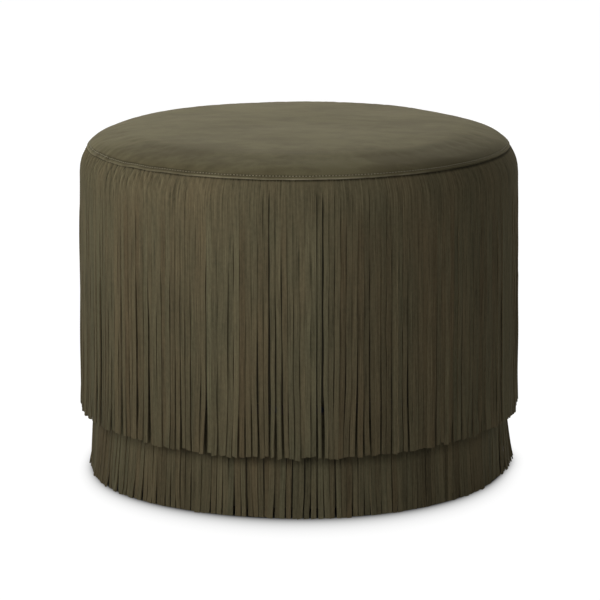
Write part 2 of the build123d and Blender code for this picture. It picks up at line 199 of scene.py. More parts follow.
class FrameColours(PropertyGroup):
    """Colours of the frame, the padding and the fasteners."""

    plywood: colour("Plywood", "Light birch veneer", 205, 172, 128)
    plywood_deep: colour("Plywood grain", "Darker birch grain", 171, 132, 88)
    pine: colour("Pine", "Light pine", 222, 187, 137)
    pine_deep: colour("Pine grain", "Late wood of the pine", 184, 133, 78)
    hardboard: colour("Hardboard", "Pressed fibre board", 121, 85, 57)
    foam: colour("Foam", "Polyurethane foam", 232, 222, 184)
    batting: colour("Batting", "Polyester batting", 236, 236, 231)
    lining: colour("Lining", "Woven lining", 66, 61, 47)
    dust: colour("Dust cover", "Black non-woven cloth", 34, 34, 35)
    card: colour("Tack strip", "Stiff dark card", 62, 53, 41)
    zinc: colour("Zinc", "Zinc-plated steel", 196, 196, 190)
    blued: colour("Blued steel", "Blued tack steel", 58, 61, 70)
    nylon: colour("Nylon", "Dark moulded nylon", 46, 46, 47)


class StageSizes(PropertyGroup):
    """The camera, the light and the floor."""

    camera_distance: length("Camera distance", "Level distance from the drum's axis", 3.24)
    camera_height: length("Camera height", "Height of the lens above the floor", 0.932)
    camera_side: length("Camera side step", "How far the camera stands to the right", 0.0013)
    camera_dip: angle("Camera dip", "How far the camera looks down", 12.61)
    lens: FloatProperty(name="Lens", description="Focal length in millimetres", default=159.5)
    floor_size: length("Floor size", "Side of the square floor", 30.0)
    key_power: power("Key light", "Power of the light on the left", 3.8)
    top_power: power("Top light", "Power of the overhead light behind", 21.5)
    front_power: power("Front light", "Power of the weak light in front", 9.8)
    sky: share("Sky", "Strength of the even light from all round", 0.09)
    shadow_depth: share("Shadow depth", "Share of the floor's lit colour that the camera sees", 0.15)
    # Fade lengths of the painted shadow in the floor's glow
    shadow_side: length("Shadow, side", "Length over which the floor's shadow fades beside the drum", 0.0060)
    shadow_front: length("Shadow, front", "Length over which the floor's shadow fades before the drum", 0.024)
    floor: colour("Floor", "Pale floor", 236, 236, 236)


class OttomanSettings(PropertyGroup):
    """Everything that can be set."""

    seat: PointerProperty(type=SeatSizes)
    upper: PointerProperty(type=FringeLooks)
    lower: PointerProperty(type=FringeLooks)
    leather: PointerProperty(type=LeatherColours)
    frame: PointerProperty(type=FrameColours)
    stage: PointerProperty(type=StageSizes)


# Meshes

def new_piece(name, points, faces, materials, replaced=(), smooth_angle=45.0, face_materials=None):
    """Makes a mesh piece that rides on the frame and stands for the given frame nodes."""
    mesh = bpy.data.meshes.new(name)
    mesh.from_pydata(np.asarray(points).tolist(), [], faces)
    mesh.validate()
    for material in materials:
        mesh.materials.append(material)
    if face_materials is not None:
        mesh.polygons.foreach_set("material_index", np.asarray(face_materials, dtype=np.int32))
    mesh.shade_smooth()
    mesh.set_sharp_from_angle(angle=radians(smooth_angle))
    mesh.update()
    piece = bpy.data.objects.new(name, mesh)
    bpy.context.scene.collection.objects.link(piece)
    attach(piece, "root")
    if replaced:
        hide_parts(*replaced)
    return piece


def around(count):
    """Angles evenly round the drum."""
    return np.arange(count) * (2 * pi / count)


def polar(radius, turn, height):
    """Points at a radius, a turn about the drum's axis and a height."""
    radius, turn, height = np.broadcast_arrays(radius, turn, height)
    return np.stack([radius * np.cos(turn), radius * np.sin(turn), height], axis=-1)


def ring_faces(rows, columns, closed):
    """Quads between rings of points, from each ring to the next, and from the last to the first if closed."""
    faces = []
    for row in range(rows if closed else rows - 1):
        here = row * columns
        there = (row + 1) % rows * columns
        for column in range(columns):
            beside = (column + 1) % columns
            faces.append((here + column, there + column, there + beside, here + beside))
    return faces


def turned(name, rings, materials, replaced, poles=False):
    """A closed piece of revolution from rings of points; poles closes both ends on the axis."""
    rows, columns, _ = rings.shape
    points = rings.reshape(-1, 3)
    faces = ring_faces(rows, columns, closed=not poles)
    if poles:
        tips = [rings[0].mean(axis=0), rings[-1].mean(axis=0)]
        points = np.concatenate([points, tips])
        first, last, end = len(points) - 2, len(points) - 1, (rows - 1) * columns
        for column in range(columns):
            beside = (column + 1) % columns
            faces.append((first, column, beside))
            faces.append((last, end + beside, end + column))
    return new_piece(name, points, faces, materials, replaced)


def waves(rng, turns, slowest, fastest):
    """Smooth random waves round the drum, about one unit high, with slowest to fastest cycles in a turn."""
    cycles = np.arange(slowest, fastest + 1)
    phases = rng.uniform(0, 2 * pi, len(cycles))
    weights = rng.uniform(0.3, 1.0, len(cycles))
    total = (weights * np.cos(np.multiply.outer(turns, cycles) + phases)).sum(axis=-1)
    return total / sqrt((weights**2).sum() / 2)


def ripples(rng, x, y, shortest, longest):
    """Smooth random ripples over a plane, about one unit high, with wave lengths between these two."""
    count = 28
    total = np.zeros_like(x)
    for _ in range(count):
        heading = rng.uniform(0, 2 * pi)
        pace = 2 * pi / rng.uniform(shortest, longest)
        total += np.cos(pace * (x * cos(heading) + y * sin(heading)) + rng.uniform(0, 2 * pi))
    return total / sqrt(count / 2)


def turned_from(turns, side):
    """How far each turn about the axis is from a given one, from minus pi to pi."""
    return (turns - side + pi) % (2 * pi) - pi


def eased(value):
    """0 below 0, 1 above 1 and a smooth step between."""
    value = np.clip(value, 0, 1)
    return value * value * (3 - 2 * value)


def lobe(turns, side, width):
    """1 at one turn about the axis, falling smoothly to 0 on both sides of it."""
    return np.exp(-((turned_from(turns, side) / width) ** 2))


def ridge(lengths, middle, width, squareness=2):
    """1 at one length, falling smoothly to 0 on both sides of it."""
    return np.exp(-(((lengths - middle) / width) ** squareness))


def store(piece, name, values):
    """Keeps a number for each point of a piece, and nought for the points that the values don't reach."""
    kept = np.zeros(len(piece.data.vertices), np.float32)
    kept[:values.size] = values.ravel()
    piece.data.attributes.new(name, "FLOAT", "POINT").data.foreach_set("value", kept)


class Outline:
    """The drum's outline: a shallow crown arc that runs into the shoulder arc."""

    def __init__(self, seat):
        self.radius = LINING_RADIUS + seat.layers_over_lining
        self.shoulder = seat.shoulder_radius
        self.middle = self.radius - self.shoulder
        self.height = SEAT_TOP - seat.crown_rise - self.shoulder
        rise = seat.crown_rise
        self.crown = (self.middle**2 + rise**2 + 2 * rise * self.shoulder) / (2 * rise)
        self.centre = SEAT_TOP - self.crown
        self.lip = atan2(self.height - self.centre, self.middle)
        self.crown_length = self.crown * (pi / 2 - self.lip)
        self.seam_angle = seat.seam_angle
        self.seam_length = self.crown_length + self.shoulder * (self.lip - self.seam_angle)
        self.full_length = self.crown_length + self.shoulder * self.lip

    def at(self, along, inset=0.0):
        """Radius, height and outward direction at a length from the middle of the seat."""
        along = np.asarray(along, dtype=float)
        on_crown = along < self.crown_length
        lean = np.where(
            on_crown,
            pi / 2 - along / self.crown,
            self.lip - (along - self.crown_length) / self.shoulder,
        )
        out, up = np.cos(lean), np.sin(lean)
        size = np.where(on_crown, self.crown, self.shoulder) - inset
        radius = np.where(on_crown, 0, self.middle) + size * out
        height = np.where(on_crown, self.centre, self.height) + size * up
        return radius, height, out, up


# Materials

class Shading:
    """A material under construction: a principled surface fed by noise in the object's own space."""

    # Sockets of a colour mix: its two colours, and its result
    mix_colours = (6, 7)
    mix_result = 2

    def __init__(self, name):
        self.material = bpy.data.materials.new(name)
        self.material.use_nodes = True
        self.tree = self.material.node_tree
        self.surface = self.tree.nodes["Principled BSDF"]
        self.place = self.tree.nodes.new("ShaderNodeTexCoord").outputs["Object"]

    def node(self, kind, **settings):
        """A new node with these settings."""
        made = self.tree.nodes.new(kind)
        for key, value in settings.items():
            setattr(made, key, value)
        return made

    def join(self, source, target):
        """Links an output to an input."""
        self.tree.links.new(source, target)

    def noise(self, scale, detail=3.0, roughness=0.5, stretch=(1, 1, 1), place=None):
        """Noise with this many features a metre, stretched along the axes."""
        mapping = self.node("ShaderNodeMapping")
        mapping.inputs["Scale"].default_value = stretch
        self.join(place or self.place, mapping.inputs["Vector"])
        texture = self.node("ShaderNodeTexNoise")
        texture.inputs["Scale"].default_value = scale
        texture.inputs["Detail"].default_value = detail
        texture.inputs["Roughness"].default_value = roughness
        self.join(mapping.outputs["Vector"], texture.inputs["Vector"])
        return texture.outputs["Fac"]

    def ranged(self, source, low, high, to_low=0.0, to_high=1.0):
        """Maps a value from one range to another, held at its ends."""
        made = self.node("ShaderNodeMapRange")
        for key, value in (("From Min", low), ("From Max", high), ("To Min", to_low), ("To Max", to_high)):
            made.inputs[key].default_value = value
        self.join(source, made.inputs["Value"])
        return made.outputs["Result"]

    def sums(self, operation, first, second):
        """Arithmetic on two values, either of which may be a plain number."""
        made = self.node("ShaderNodeMath", operation=operation)
        for socket, value in zip(made.inputs, (first, second)):
            if isinstance(value, float):
                socket.default_value = value
            else:
                self.join(value, socket)
        return made.outputs[0]

    def mixed(self, factor, first, second):
        """Mixes two colours, either of which may be a plain colour."""
        made = self.node("ShaderNodeMix", data_type="RGBA")
        self.join(factor, made.inputs[0])
        for number, value in zip(self.mix_colours, (first, second)):
            socket = made.inputs[number]
            if hasattr(value, "links"):
                self.join(value, socket)
            else:
                socket.default_value = (*value, 1)
        return made.outputs[self.mix_result]

    def attribute(self, name, output="Fac"):
        """A number, or by its output a vector, stored on the mesh."""
        return self.node("ShaderNodeAttribute", attribute_name=name).outputs[output]

    def bump(self, *layers):
        """Stacks relief layers, each a height, a strength and a depth in metres."""
        normal = None
        for height, strength, depth in layers:
            made = self.node("ShaderNodeBump")
            made.inputs["Strength"].default_value = strength
            made.inputs["Distance"].default_value = depth
            self.join(height, made.inputs["Height"])
            if normal is not None:
                self.join(normal, made.inputs["Normal"])
            normal = made.outputs["Normal"]
        self.join(normal, self.surface.inputs["Normal"])

    def finish(self, tint, roughness, specular=0.3, metallic=0.0):
        """Joins the colour to the surface, sets its even values, and returns the material."""
        self.join(tint, self.surface.inputs["Base Color"])
        if isinstance(roughness, float):
            self.surface.inputs["Roughness"].default_value = roughness
        else:
            self.join(roughness, self.surface.inputs["Roughness"])
        self.surface.inputs["Specular IOR Level"].default_value = specular
        self.surface.inputs["Metallic"].default_value = metallic
        return self.material

    def sheen(self, weight, roughness, tint):
        """Gives the surface the soft bloom of a nap."""
        self.surface.inputs["Sheen Weight"].default_value = weight
        self.surface.inputs["Sheen Roughness"].default_value = roughness
        self.surface.inputs["Sheen Tint"].default_value = (*tint, 1)


def scaled(tint, amount):
    """A colour made darker or lighter."""
    return tuple(amount * value for value in tint)


def seat_suede(colours):
    """Suede of the seat: brushed in soft patches, with a painted highlight along its turned edge, painted
    shade in the stitched groove, and painted shade and light on the shoulder.
    """
    shading = Shading("seat_suede")
    patches = shading.noise(8.0, 4.0, 0.6, (0.8, 1.1, 1.0))
    strokes = shading.noise(34.0, 5.0, 0.65, (0.7, 1.2, 1.0))
    nap = shading.noise(900.0, 3.0, 0.6)
    # Painted shade and light on the shoulder: above nought it paints the suede darker, below nought lighter
    painted_shade_and_light = shading.attribute("painted_shade_and_light")
    marks = shading.sums("MULTIPLY", shading.sums("ADD", patches, strokes), 0.5)
    painted_light = shading.ranged(painted_shade_and_light, -1.0, 0.0, 0.7, 0.0)
    light = shading.sums("ADD", shading.ranged(marks, 0.43, 0.58), painted_light)
    base = shading.mixed(light, colours.seat_deep, colours.seat)
    # Darker where the shoulder gets its painted shade, and in random strokes
    dark = shading.sums("ADD", painted_shade_and_light, shading.ranged(strokes, 0.3, 0.7, -0.35, 0.35))
    base = shading.mixed(shading.ranged(dark, 0.25, 0.75, 0.0, 0.8), base, colours.seat_dark)
    base = shading.mixed(shading.ranged(nap, 0.3, 0.7, 0.0, 0.25), base, colours.seat_deep)
    # Painted highlight along the turned edge, in the thread's lighter colour, patchy with the strokes
    highlight_patchiness = shading.ranged(strokes, 0.35, 0.6, 0.35, 0.9)
    edge_highlight = shading.sums("MULTIPLY", shading.attribute("painted_edge_highlight"), highlight_patchiness)
    base = shading.mixed(edge_highlight, base, colours.thread)
    # Painted shade in the stitched groove, wider where the seam gathers
    groove_shade_amount = shading.ranged(shading.attribute("sunk"), 0.0, 1.0, 0.0, 0.8)
    base = shading.mixed(groove_shade_amount, base, colours.painted_groove_shade)
    shading.sheen(0.25, 0.4, (0.75, 0.69, 0.48))
    shading.bump((strokes, 0.18, 0.0012), (nap, 0.22, 0.0004))
    return shading.finish(base, shading.ranged(strokes, 0.3, 0.7, 0.82, 0.95), specular=0.06)


def fringe_suede(name, colours, covered, reach, depth):
    """Suede of the fringe, streaked down its length, each strip its own tone, with painted shadow where the
    edge above covers it, and painted shade and highlight on its gathers.
    """
    shading = Shading(name)
    lie = shading.attribute("lie", "Vector")
    streaks = shading.noise(420.0, 4.0, 0.65, (1.0, 0.05, 1.0), lie)
    lines = shading.noise(900.0, 2.0, 0.5, (1.0, 0.016, 1.0), lie)
    patches = shading.noise(16.0, 4.0, 0.6, (1.0, 0.5, 1.0), lie)
    nap = shading.noise(340.0, 4.0, 0.7, (1.0, 0.45, 1.0), lie)
    hue = shading.attribute("strip_hue")
    blend = shading.sums("ADD", hue, shading.ranged(patches, 0.3, 0.7, -0.3, 0.3))
    base = shading.mixed(shading.ranged(blend, 0.0, 1.0), colours.fringe, colours.fringe_deep)
    down = shading.node("ShaderNodeSeparateXYZ")
    shading.join(lie, down.inputs["Vector"])
    light = shading.attribute("strip_tone")
    for source, low, high, darkest, lightest in (
        (streaks, 0.3, 0.7, -0.13, 0.13),
        (patches, 0.3, 0.7, -0.12, 0.12),
        (lines, 0.55, 0.66, 0.0, 0.26),
        (lines, 0.34, 0.45, -0.3, 0.0),
        (nap, 0.3, 0.7, -0.15, 0.15),
        # Painted shadow below the edge that hangs over the strips: darker from covered down over reach
        (down.outputs["Y"], covered, covered + reach, -depth, 0.0),
        # Painted shade in the valleys of the gathers and painted highlight on their ridges
        (shading.attribute("fold"), -1.6, 1.6, -0.28, 0.28),
    ):
        light = shading.sums("ADD", light, shading.ranged(source, low, high, darkest, lightest))
    toned = shading.node("ShaderNodeHueSaturation")
    shading.join(base, toned.inputs["Color"])
    shading.join(shading.sums("ADD", light, 1.0), toned.inputs["Value"])
    shading.sheen(0.18, 0.45, colours.fringe)
    shading.bump((streaks, 0.12, 0.0008), (nap, 0.25, 0.0005))
    roughness = shading.ranged(streaks, 0.3, 0.7, 0.82, 0.95)
    return shading.finish(toned.outputs["Color"], roughness, specular=0.06)


def cut_edge(colours):
    """Raw cut edge of a strip, fibrous and a little darker than its face."""
    shading = Shading("cut_edge")
    fibres = shading.noise(700.0, 4.0, 0.65, (1.0, 1.0, 0.25))
    base = shading.mixed(shading.ranged(fibres, 0.3, 0.7), colours.edge, colours.fringe_deep)
    shading.bump((fibres, 0.3, 0.0004))
    return shading.finish(base, 0.92, specular=0.06)


def thread(colours):
    """Twisted topstitching thread."""
    shading = Shading("thread")
    twist = shading.noise(2200.0, 2.0, 0.5)
    base = shading.mixed(shading.ranged(twist, 0.3, 0.7, 0.0, 0.5), colours.thread, colours.seat)
    shading.bump((twist, 0.4, 0.0003))
    return shading.finish(base, 0.7, specular=0.3)


def woven(name, tint, pitch=0.0009):
    """A plain weave of fine yarns."""
    shading = Shading(name)
    yarns = []
    for direction in ("X", "Y", "Z"):
        wave = shading.node("ShaderNodeTexWave", wave_type="BANDS", bands_direction=direction)
        wave.inputs["Scale"].default_value = 0.31 / pitch
        wave.inputs["Distortion"].default_value = 0.6
        shading.join(shading.place, wave.inputs["Vector"])
        yarns.append(wave.outputs["Fac"])
    weave = shading.sums("MAXIMUM", shading.sums("MAXIMUM", yarns[0], yarns[1]), yarns[2])
    slubs = shading.noise(60.0, 3.0)
    deep = scaled(tint, 0.72)
    base = shading.mixed(shading.ranged(weave, 0.5, 1.0), deep, tint)
    base = shading.mixed(shading.ranged(slubs, 0.3, 0.7, 0.0, 0.25), base, deep)
    shading.bump((weave, 0.3, 0.0003))
    return shading.finish(base, 0.9, specular=0.2)


def spongy(name, tint, cells):
    """Foam or batting: fine cells with soft colour drift."""
    shading = Shading(name)
    pores = shading.node("ShaderNodeTexVoronoi")
    pores.inputs["Scale"].default_value = cells
    shading.join(shading.place, pores.inputs["Vector"])
    drift = shading.noise(14.0, 4.0)
    deep = scaled(tint, 0.78)
    base = shading.mixed(shading.ranged(pores.outputs["Distance"], 0.0, 0.6), tint, deep)
    base = shading.mixed(shading.ranged(drift, 0.3, 0.7, 0.0, 0.3), base, deep)
    shading.bump((pores.outputs["Distance"], 0.35, 0.0006))
    return shading.finish(base, 0.95, specular=0.15)


def timber(name, tint, deep, stretch, layers=0.0):
    """Wood with its grain along the axis that is stretched least; layers is the height of a ply."""
    shading = Shading(name)
    figure = shading.noise(22.0, 5.0, 0.6, stretch)
    pores = shading.noise(420.0, 3.0, 0.6, stretch)
    base = shading.mixed(shading.ranged(figure, 0.35, 0.65), tint, deep)
    base = shading.mixed(shading.ranged(pores, 0.45, 0.75, 0.0, 0.35), base, deep)
    if layers:
        height = shading.node("ShaderNodeSeparateXYZ")
        shading.join(shading.place, height.inputs["Vector"])
        normal = shading.node("ShaderNodeSeparateXYZ")
        shading.join(shading.node("ShaderNodeNewGeometry").outputs["True Normal"], normal.inputs["Vector"])
        plies = shading.sums("PINGPONG", height.outputs["Z"], layers)
        upright = shading.sums("LESS_THAN", shading.sums("ABSOLUTE", normal.outputs["Z"], 0.0), 0.5)
        band = shading.sums("MULTIPLY", shading.ranged(plies, 0.4 * layers, 0.6 * layers), upright)
        base = shading.mixed(band, base, deep)
    shading.bump((pores, 0.2, 0.0004))
    return shading.finish(base, shading.ranged(figure, 0.3, 0.7, 0.55, 0.75), specular=0.3)


def pressed(name, tint):
    """Pressed fibre or card, finely speckled."""
    shading = Shading(name)
    fibres = shading.noise(260.0, 5.0, 0.7)
    drift = shading.noise(18.0, 3.0)
    deep = scaled(tint, 0.68)
    base = shading.mixed(shading.ranged(fibres, 0.35, 0.65), deep, tint)
    base = shading.mixed(shading.ranged(drift, 0.3, 0.7, 0.0, 0.3), base, deep)
    shading.bump((fibres, 0.2, 0.0004))
    return shading.finish(base, 0.7, specular=0.3)


def metal(name, tint, roughness):
    """Plated or blued steel with fine tool marks."""
    shading = Shading(name)
    marks = shading.noise(800.0, 4.0, 0.6)
    stain = shading.noise(90.0, 3.0)
    deep = scaled(tint, 0.75)
    base = shading.mixed(shading.ranged(stain, 0.35, 0.65), tint, deep)
    shading.bump((marks, 0.1, 0.0002))
    dullness = shading.ranged(marks, 0.3, 0.7, roughness - 0.06, roughness + 0.08)
    return shading.finish(base, dullness, specular=0.5, metallic=1.0)


def moulded(name, tint):
    """Moulded plastic with a fine spark-eroded grain."""
    shading = Shading(name)
    grain = shading.noise(1400.0, 2.0, 0.5)
    scuffs = shading.noise(70.0, 5.0, 0.7)
    pale = scaled(tint, 1.5)
    base = shading.mixed(shading.ranged(scuffs, 0.55, 0.75, 0.0, 0.4), tint, pale)
    shading.bump((grain, 0.15, 0.0002))
    return shading.finish(base, shading.ranged(scuffs, 0.3, 0.7, 0.45, 0.62), specular=0.4)


# Seat

SEAT_COLUMNS = 384
SETTLE_STEPS = 20

# Widths up from the seam: the finely divided edge, the slack, the gathers, and the part without swells
EDGE_WIDTH = 0.009
SLACK_WIDTH = 0.05
GATHER_WIDTH = 0.012
EVEN_WIDTH = 0.02

# The sunk shoulder's middle and half width, and the half width of the bead and of the stitched groove
SLUMP_MIDDLE = 0.036
SLUMP_WIDTH = 0.024
BEAD_WIDTH = 0.001

# How far to each side the seam gathers
GATHER_SPREAD = radians(26)


def seat_rings(outline):
    """Lengths from the middle of the seat at which its leather has rings, closer towards the seam."""
    edge_start = outline.seam_length - EDGE_WIDTH
    inner = np.linspace(0.004, outline.crown_length, 38)
    shoulder = np.linspace(outline.crown_length, edge_start, 15)[1:]
    edge = np.linspace(edge_start, outline.seam_length, 16)[1:]
    return inner, shoulder, edge


def settle(points, faces, slack_points, pinned, limit):
    """Lets the seat leather puff up and gather against its sewn edge, and returns how far its points move."""
    scene = bpy.context.scene
    mesh = bpy.data.meshes.new("seat_settling")
    mesh.from_pydata(points.tolist(), [], faces)
    cloth_piece = bpy.data.objects.new("seat_settling", mesh)
    scene.collection.objects.link(cloth_piece)
    group = cloth_piece.vertex_groups.new(name="sewn")
    group.add(pinned.tolist(), 1.0, "REPLACE")
    cloth_piece.shape_key_add(name="sewn_shape")
    slack_key = cloth_piece.shape_key_add(name="cut_shape")
    slack_key.data.foreach_set("co", slack_points.astype(np.float32).ravel())
    cloth = cloth_piece.modifiers.new("Cloth", "CLOTH")
    cloth.collision_settings.use_collision = False
    hide = cloth.settings
    hide.quality = 6
    hide.mass = 0.4
    hide.tension_stiffness = 25
    hide.compression_stiffness = 25
    hide.bending_stiffness = 1.5
    hide.use_pressure = True
    hide.uniform_pressure_force = 1.0
    hide.effector_weights.gravity = 0
    hide.vertex_group_mass = group.name
    hide.rest_shape_key = slack_key
    for step in range(1, SETTLE_STEPS + 1):
        scene.frame_set(step)
    settled = cloth_piece.evaluated_get(bpy.context.evaluated_depsgraph_get()).to_mesh()
    rest = np.zeros(len(points) * 3, np.float32)
    settled.vertices.foreach_get("co", rest)
    if not np.isfinite(rest).all():
        raise RuntimeError("The seat leather didn't come to rest")
    moved = rest.reshape(-1, 3).astype(float) - points
    scene.frame_set(1)
    bpy.data.objects.remove(cloth_piece)
    bpy.data.meshes.remove(mesh)
    far = np.linalg.norm(moved, axis=1, keepdims=True)
    return moved * limit * np.tanh(far / limit) / np.maximum(far, 1e-9)


def settled_shift(outline, seat, turns, spare, along, rough):
    """How far the leather moves as it settles, found on the rough rings and spread over all of them."""
    rows, columns = len(rough), len(turns)
    radius, height = (value[:, None] for value in outline.at(rough)[:2])
    extra = 1 + seat.slack * eased(1 - (outline.seam_length - rough) / SLACK_WIDTH)[:, None] * spare
    middle = np.array([[0.0, 0.0, SEAT_TOP]])
    sewn, cut = (
        np.concatenate([polar(reach, turns, height).reshape(-1, 3), middle])
        for reach in (radius, radius * extra)
    )
    hub = rows * columns
    faces = ring_faces(rows, columns, closed=False)
    faces += [(hub, column, (column + 1) % columns) for column in range(columns)]
    pinned = np.arange((rows - 2) * columns, rows * columns)
    settled = settle(sewn, faces, cut, pinned, seat.settle_limit)[:-1].reshape(rows, -1)
    spread_out = np.stack([np.interp(along, rough, values) for values in settled.T], axis=1)
    return spread_out.reshape(len(along), columns, 3)


def seat_leather_grid(seat):
    """The seat leather's upper side as rings of points, their lengths, and its two directions."""
    outline = Outline(seat)
    rng = np.random.default_rng(11)
    turns = around(SEAT_COLUMNS)
    inner, shoulder, edge = seat_rings(outline)
    along = np.concatenate([inner, shoulder, edge])
    radius, height, out, up = (value[:, None] for value in outline.at(along))
    base = polar(radius, turns, height)
    outward = polar(out, turns, up)
    down = polar(up, turns, -out)
    to_seam = (outline.seam_length - along)[:, None]
    gathered = 0.12 + lobe(turns, seat.gather_side, GATHER_SPREAD)
    spare = gathered * (1 + 0.4 * waves(rng, turns, 3, 9))
    shift = np.zeros_like(base)
    rough = np.concatenate([inner, shoulder, edge[4::5]])
    shift = settled_shift(outline, seat, turns, spare, along, rough)
    gathers = waves(rng, turns, 50, 130) * (0.6 + 0.4 * waves(rng, turns, 3, 11)) * gathered
    uneven = ripples(rng, base[..., 0], base[..., 1], 0.09, 0.25)
    sunk_right = lobe(turns, radians(10), radians(20))
    sunk_side = 0.5 - 0.5 * np.sin(turns) + 0.55 * sunk_right
    lowered = ridge(to_seam, SLUMP_MIDDLE, SLUMP_WIDTH) * sunk_side
    groove = ridge(to_seam, seat.stitch_inset, BEAD_WIDTH)
    bead = ridge(to_seam, 0.0008, BEAD_WIDTH)
    by_seam = np.exp(-to_seam / GATHER_WIDTH)
    lift = (
        seat.pucker * gathers * by_seam
        + seat.swell * uneven * eased(to_seam / EVEN_WIDTH)
        - seat.slump * lowered
        - (0.7 * seat.bead + seat.pucker * gathered) * groove
        + seat.bead * bead
    )
    drift = 0.0006 * (waves(rng, turns, 5, 40) * gathered) * by_seam
    drift = drift - seat.seam_tilt * np.cos(turns + 0.3) * np.exp(-to_seam / EVEN_WIDTH)
    grid = base + shift + outward * lift[..., None] + down * drift[..., None]
    return grid, along, outward, down


def between_rings(values, along, line):
    """The vectors of a grid of rings at one length between them, closed round the drum."""
    columns = values.reshape(len(along), -1).T
    ring = np.array([np.interp(line, along, column) for column in columns]).reshape(-1, 3)
    return np.concatenate([ring, ring[:1]])


class OTTOMAN_OT_seat_cover(Operator):
    """Makes the seat's leather panel with its turned edge and its topstitching"""

    bl_idname = "ottoman.seat_cover"
    bl_label = "Seat cover"

    def execute(self, context):
        settings = context.scene.ottoman
        seat = settings.seat
        grid, along, outward, down = seat_leather_grid(seat)
        to_seam = along[-1] - along
        folded = to_seam < seat.hem
        thinned = (1 - seat.skived) * eased(1 - to_seam / seat.skive_reach)
        skin = seat.leather * (1 - thinned)[:, None, None]
        rim = float(skin[-1, 0, 0])
        fold = [
            grid[-1] + down[-1] * rim * sin(turn) - outward[-1] * rim * (1 - cos(turn))
            for turn in (pi / 4, pi / 2, 3 * pi / 4)
        ]
        turned_under = (grid - 2 * skin * outward)[folded][::-1]
        inside = (grid - skin * outward)[::-1][folded.sum() - 1:]
        rings = np.concatenate([grid, np.stack(fold), turned_under, inside])
        suede = seat_suede(settings.leather)
        cover = turned("seat_leather", rings, [suede], ["seat_cover"], poles=True)
        self.mark(cover, seat, to_seam[:, None], len(fold))
        stitches = self.stitching(settings, grid, along, outward)
        return {"FINISHED"}

    def mark(self, cover, seat, to_seam, fold_rings):
        """Stores where the leather gets its painted highlight along the edge, its painted shade in the
        stitched groove, and its painted shade or painted light on the shoulder.
        """
        turns = around(SEAT_COLUMNS)
        gathered = lobe(turns, seat.gather_side, radians(30))
        from_front = turned_from(turns, radians(270))
        lit_side = 1 - eased((from_front - radians(18)) / radians(26))
        # Painted highlight along the turned edge, fading on the side turned from the light and where the seam
        # gathers
        painted_edge_highlight = ridge(to_seam, 0.0, 0.0008) * (1 - 0.7 * gathered) * lit_side
        store(cover, "painted_edge_highlight", np.concatenate([painted_edge_highlight, np.repeat(painted_edge_highlight[-1:], fold_rings, axis=0)]))
        # Painted shade along the stitched groove, wider where the seam gathers
        store(cover, "sunk", ridge(to_seam, seat.stitch_inset, 0.0009 + 0.0009 * gathered))
        # Painted shade on the right front of the shoulder, and painted light on its front
        dark = lobe(turns, seat.painted_shade_side, radians(22)) * ridge(to_seam, 0.03, 0.035, squareness=4)
        light = lobe(turns, radians(285), radians(14)) * ridge(to_seam, 0.02, 0.03, squareness=4)
        store(cover, "painted_shade_and_light", dark - light)

    def stitching(self, settings, grid, along, outward):
        """The row of stitches above the cover's edge, as one piece of many short threads."""
        seat = settings.seat
        line = along[-1] - seat.stitch_inset
        ring, up = (between_rings(values, along, line) for values in (grid, outward))
        stops = np.append(around(SEAT_COLUMNS), 2 * pi)
        count = round(2 * pi * hypot(ring[0, 0], ring[0, 1]) / seat.stitch_step)
        rng = np.random.default_rng(23)
        sides = 6
        profile = np.array([(-0.5, 0.25), (-0.4, 0.8), (-0.15, 1.0), (0.15, 1.0), (0.4, 0.8), (0.5, 0.25)])
        tube = np.array(ring_faces(len(profile), sides, closed=False))
        points = []
        faces = []
        for number in range(count):
            turn = 2 * pi * (number + 0.5) / count + rng.normal(0, 0.0004)
            where, lift = (
                np.array([np.interp(turn % (2 * pi), stops, values[:, axis]) for axis in range(3)])
                for values in (ring, up)
            )
            ahead = np.array([-sin(turn), cos(turn), 0.0])
            across = np.cross(lift, ahead)
            ahead = ahead + across * rng.normal(0, 0.05)
            size = seat.stitch * rng.uniform(0.92, 1.05)
            first = len(points)
            for step, girth in profile:
                dip = 0.35 * seat.thread * (2 * step) ** 2
                middle = where + ahead * step * size + lift * (0.3 * seat.thread - dip)
                for slant in around(sides):
                    around_thread = across * cos(slant) + 0.8 * lift * sin(slant)
                    points.append(middle + around_thread * girth * seat.thread / 2)
            faces += (tube + first).tolist()
            faces.append(list(range(first, first + sides)))
            faces.append(list(range(len(points) - 1, len(points) - sides - 1, -1)))
        return new_piece("seat_stitching", points, faces, [thread(settings.leather)])


# Fringe

class HangingPath:
    """The middle line of a fringe panel from its top edge to its tips, by the length along it."""

    def __init__(self, radius, height, out, up, lengths):
        self.lengths = lengths
        self.values = (radius, height, out, up)

    def at(self, along):
        """Radius, height and outward direction at lengths along the path."""
        return [np.interp(along, self.lengths, value) for value in self.values]

    @property
    def total(self):
        """Length from the top edge to the tips."""
        return self.lengths[-1]


def path_through(radius, height):
    """A hanging path through points given by radius and height."""
    steps = np.hypot(np.diff(radius), np.diff(height))
    lengths = np.concatenate([[0.0], np.cumsum(steps)])
    slope_r, slope_z = np.gradient(radius, lengths), np.gradient(height, lengths)
    size = np.hypot(slope_r, slope_z)
    return HangingPath(radius, height, -slope_z / size, slope_r / size, lengths)


def strip_rows(first, band_end, total, fine, coarse):
    """Lengths at which strips have points: closely where the slits begin, wider below."""
    top = np.linspace(0.0, first, 3)[:-1]
    band = np.linspace(first, band_end, ceil((band_end - first) / fine) + 1)[:-1]
    hanging = np.linspace(band_end, total, ceil((total - band_end) / coarse) + 1)
    return np.concatenate([top, band, hanging])


# Length below its slit over which a strip comes loose, and the side where the tips part widest
LOOSE_OVER = 0.07
WIDE_SIDE = radians(222)


def towards_tip(free, share_bent):
    """0 down to the last share of a strip's free length, rising to 1 at its tip."""
    return eased((free - (1 - share_bent)) / share_bent)


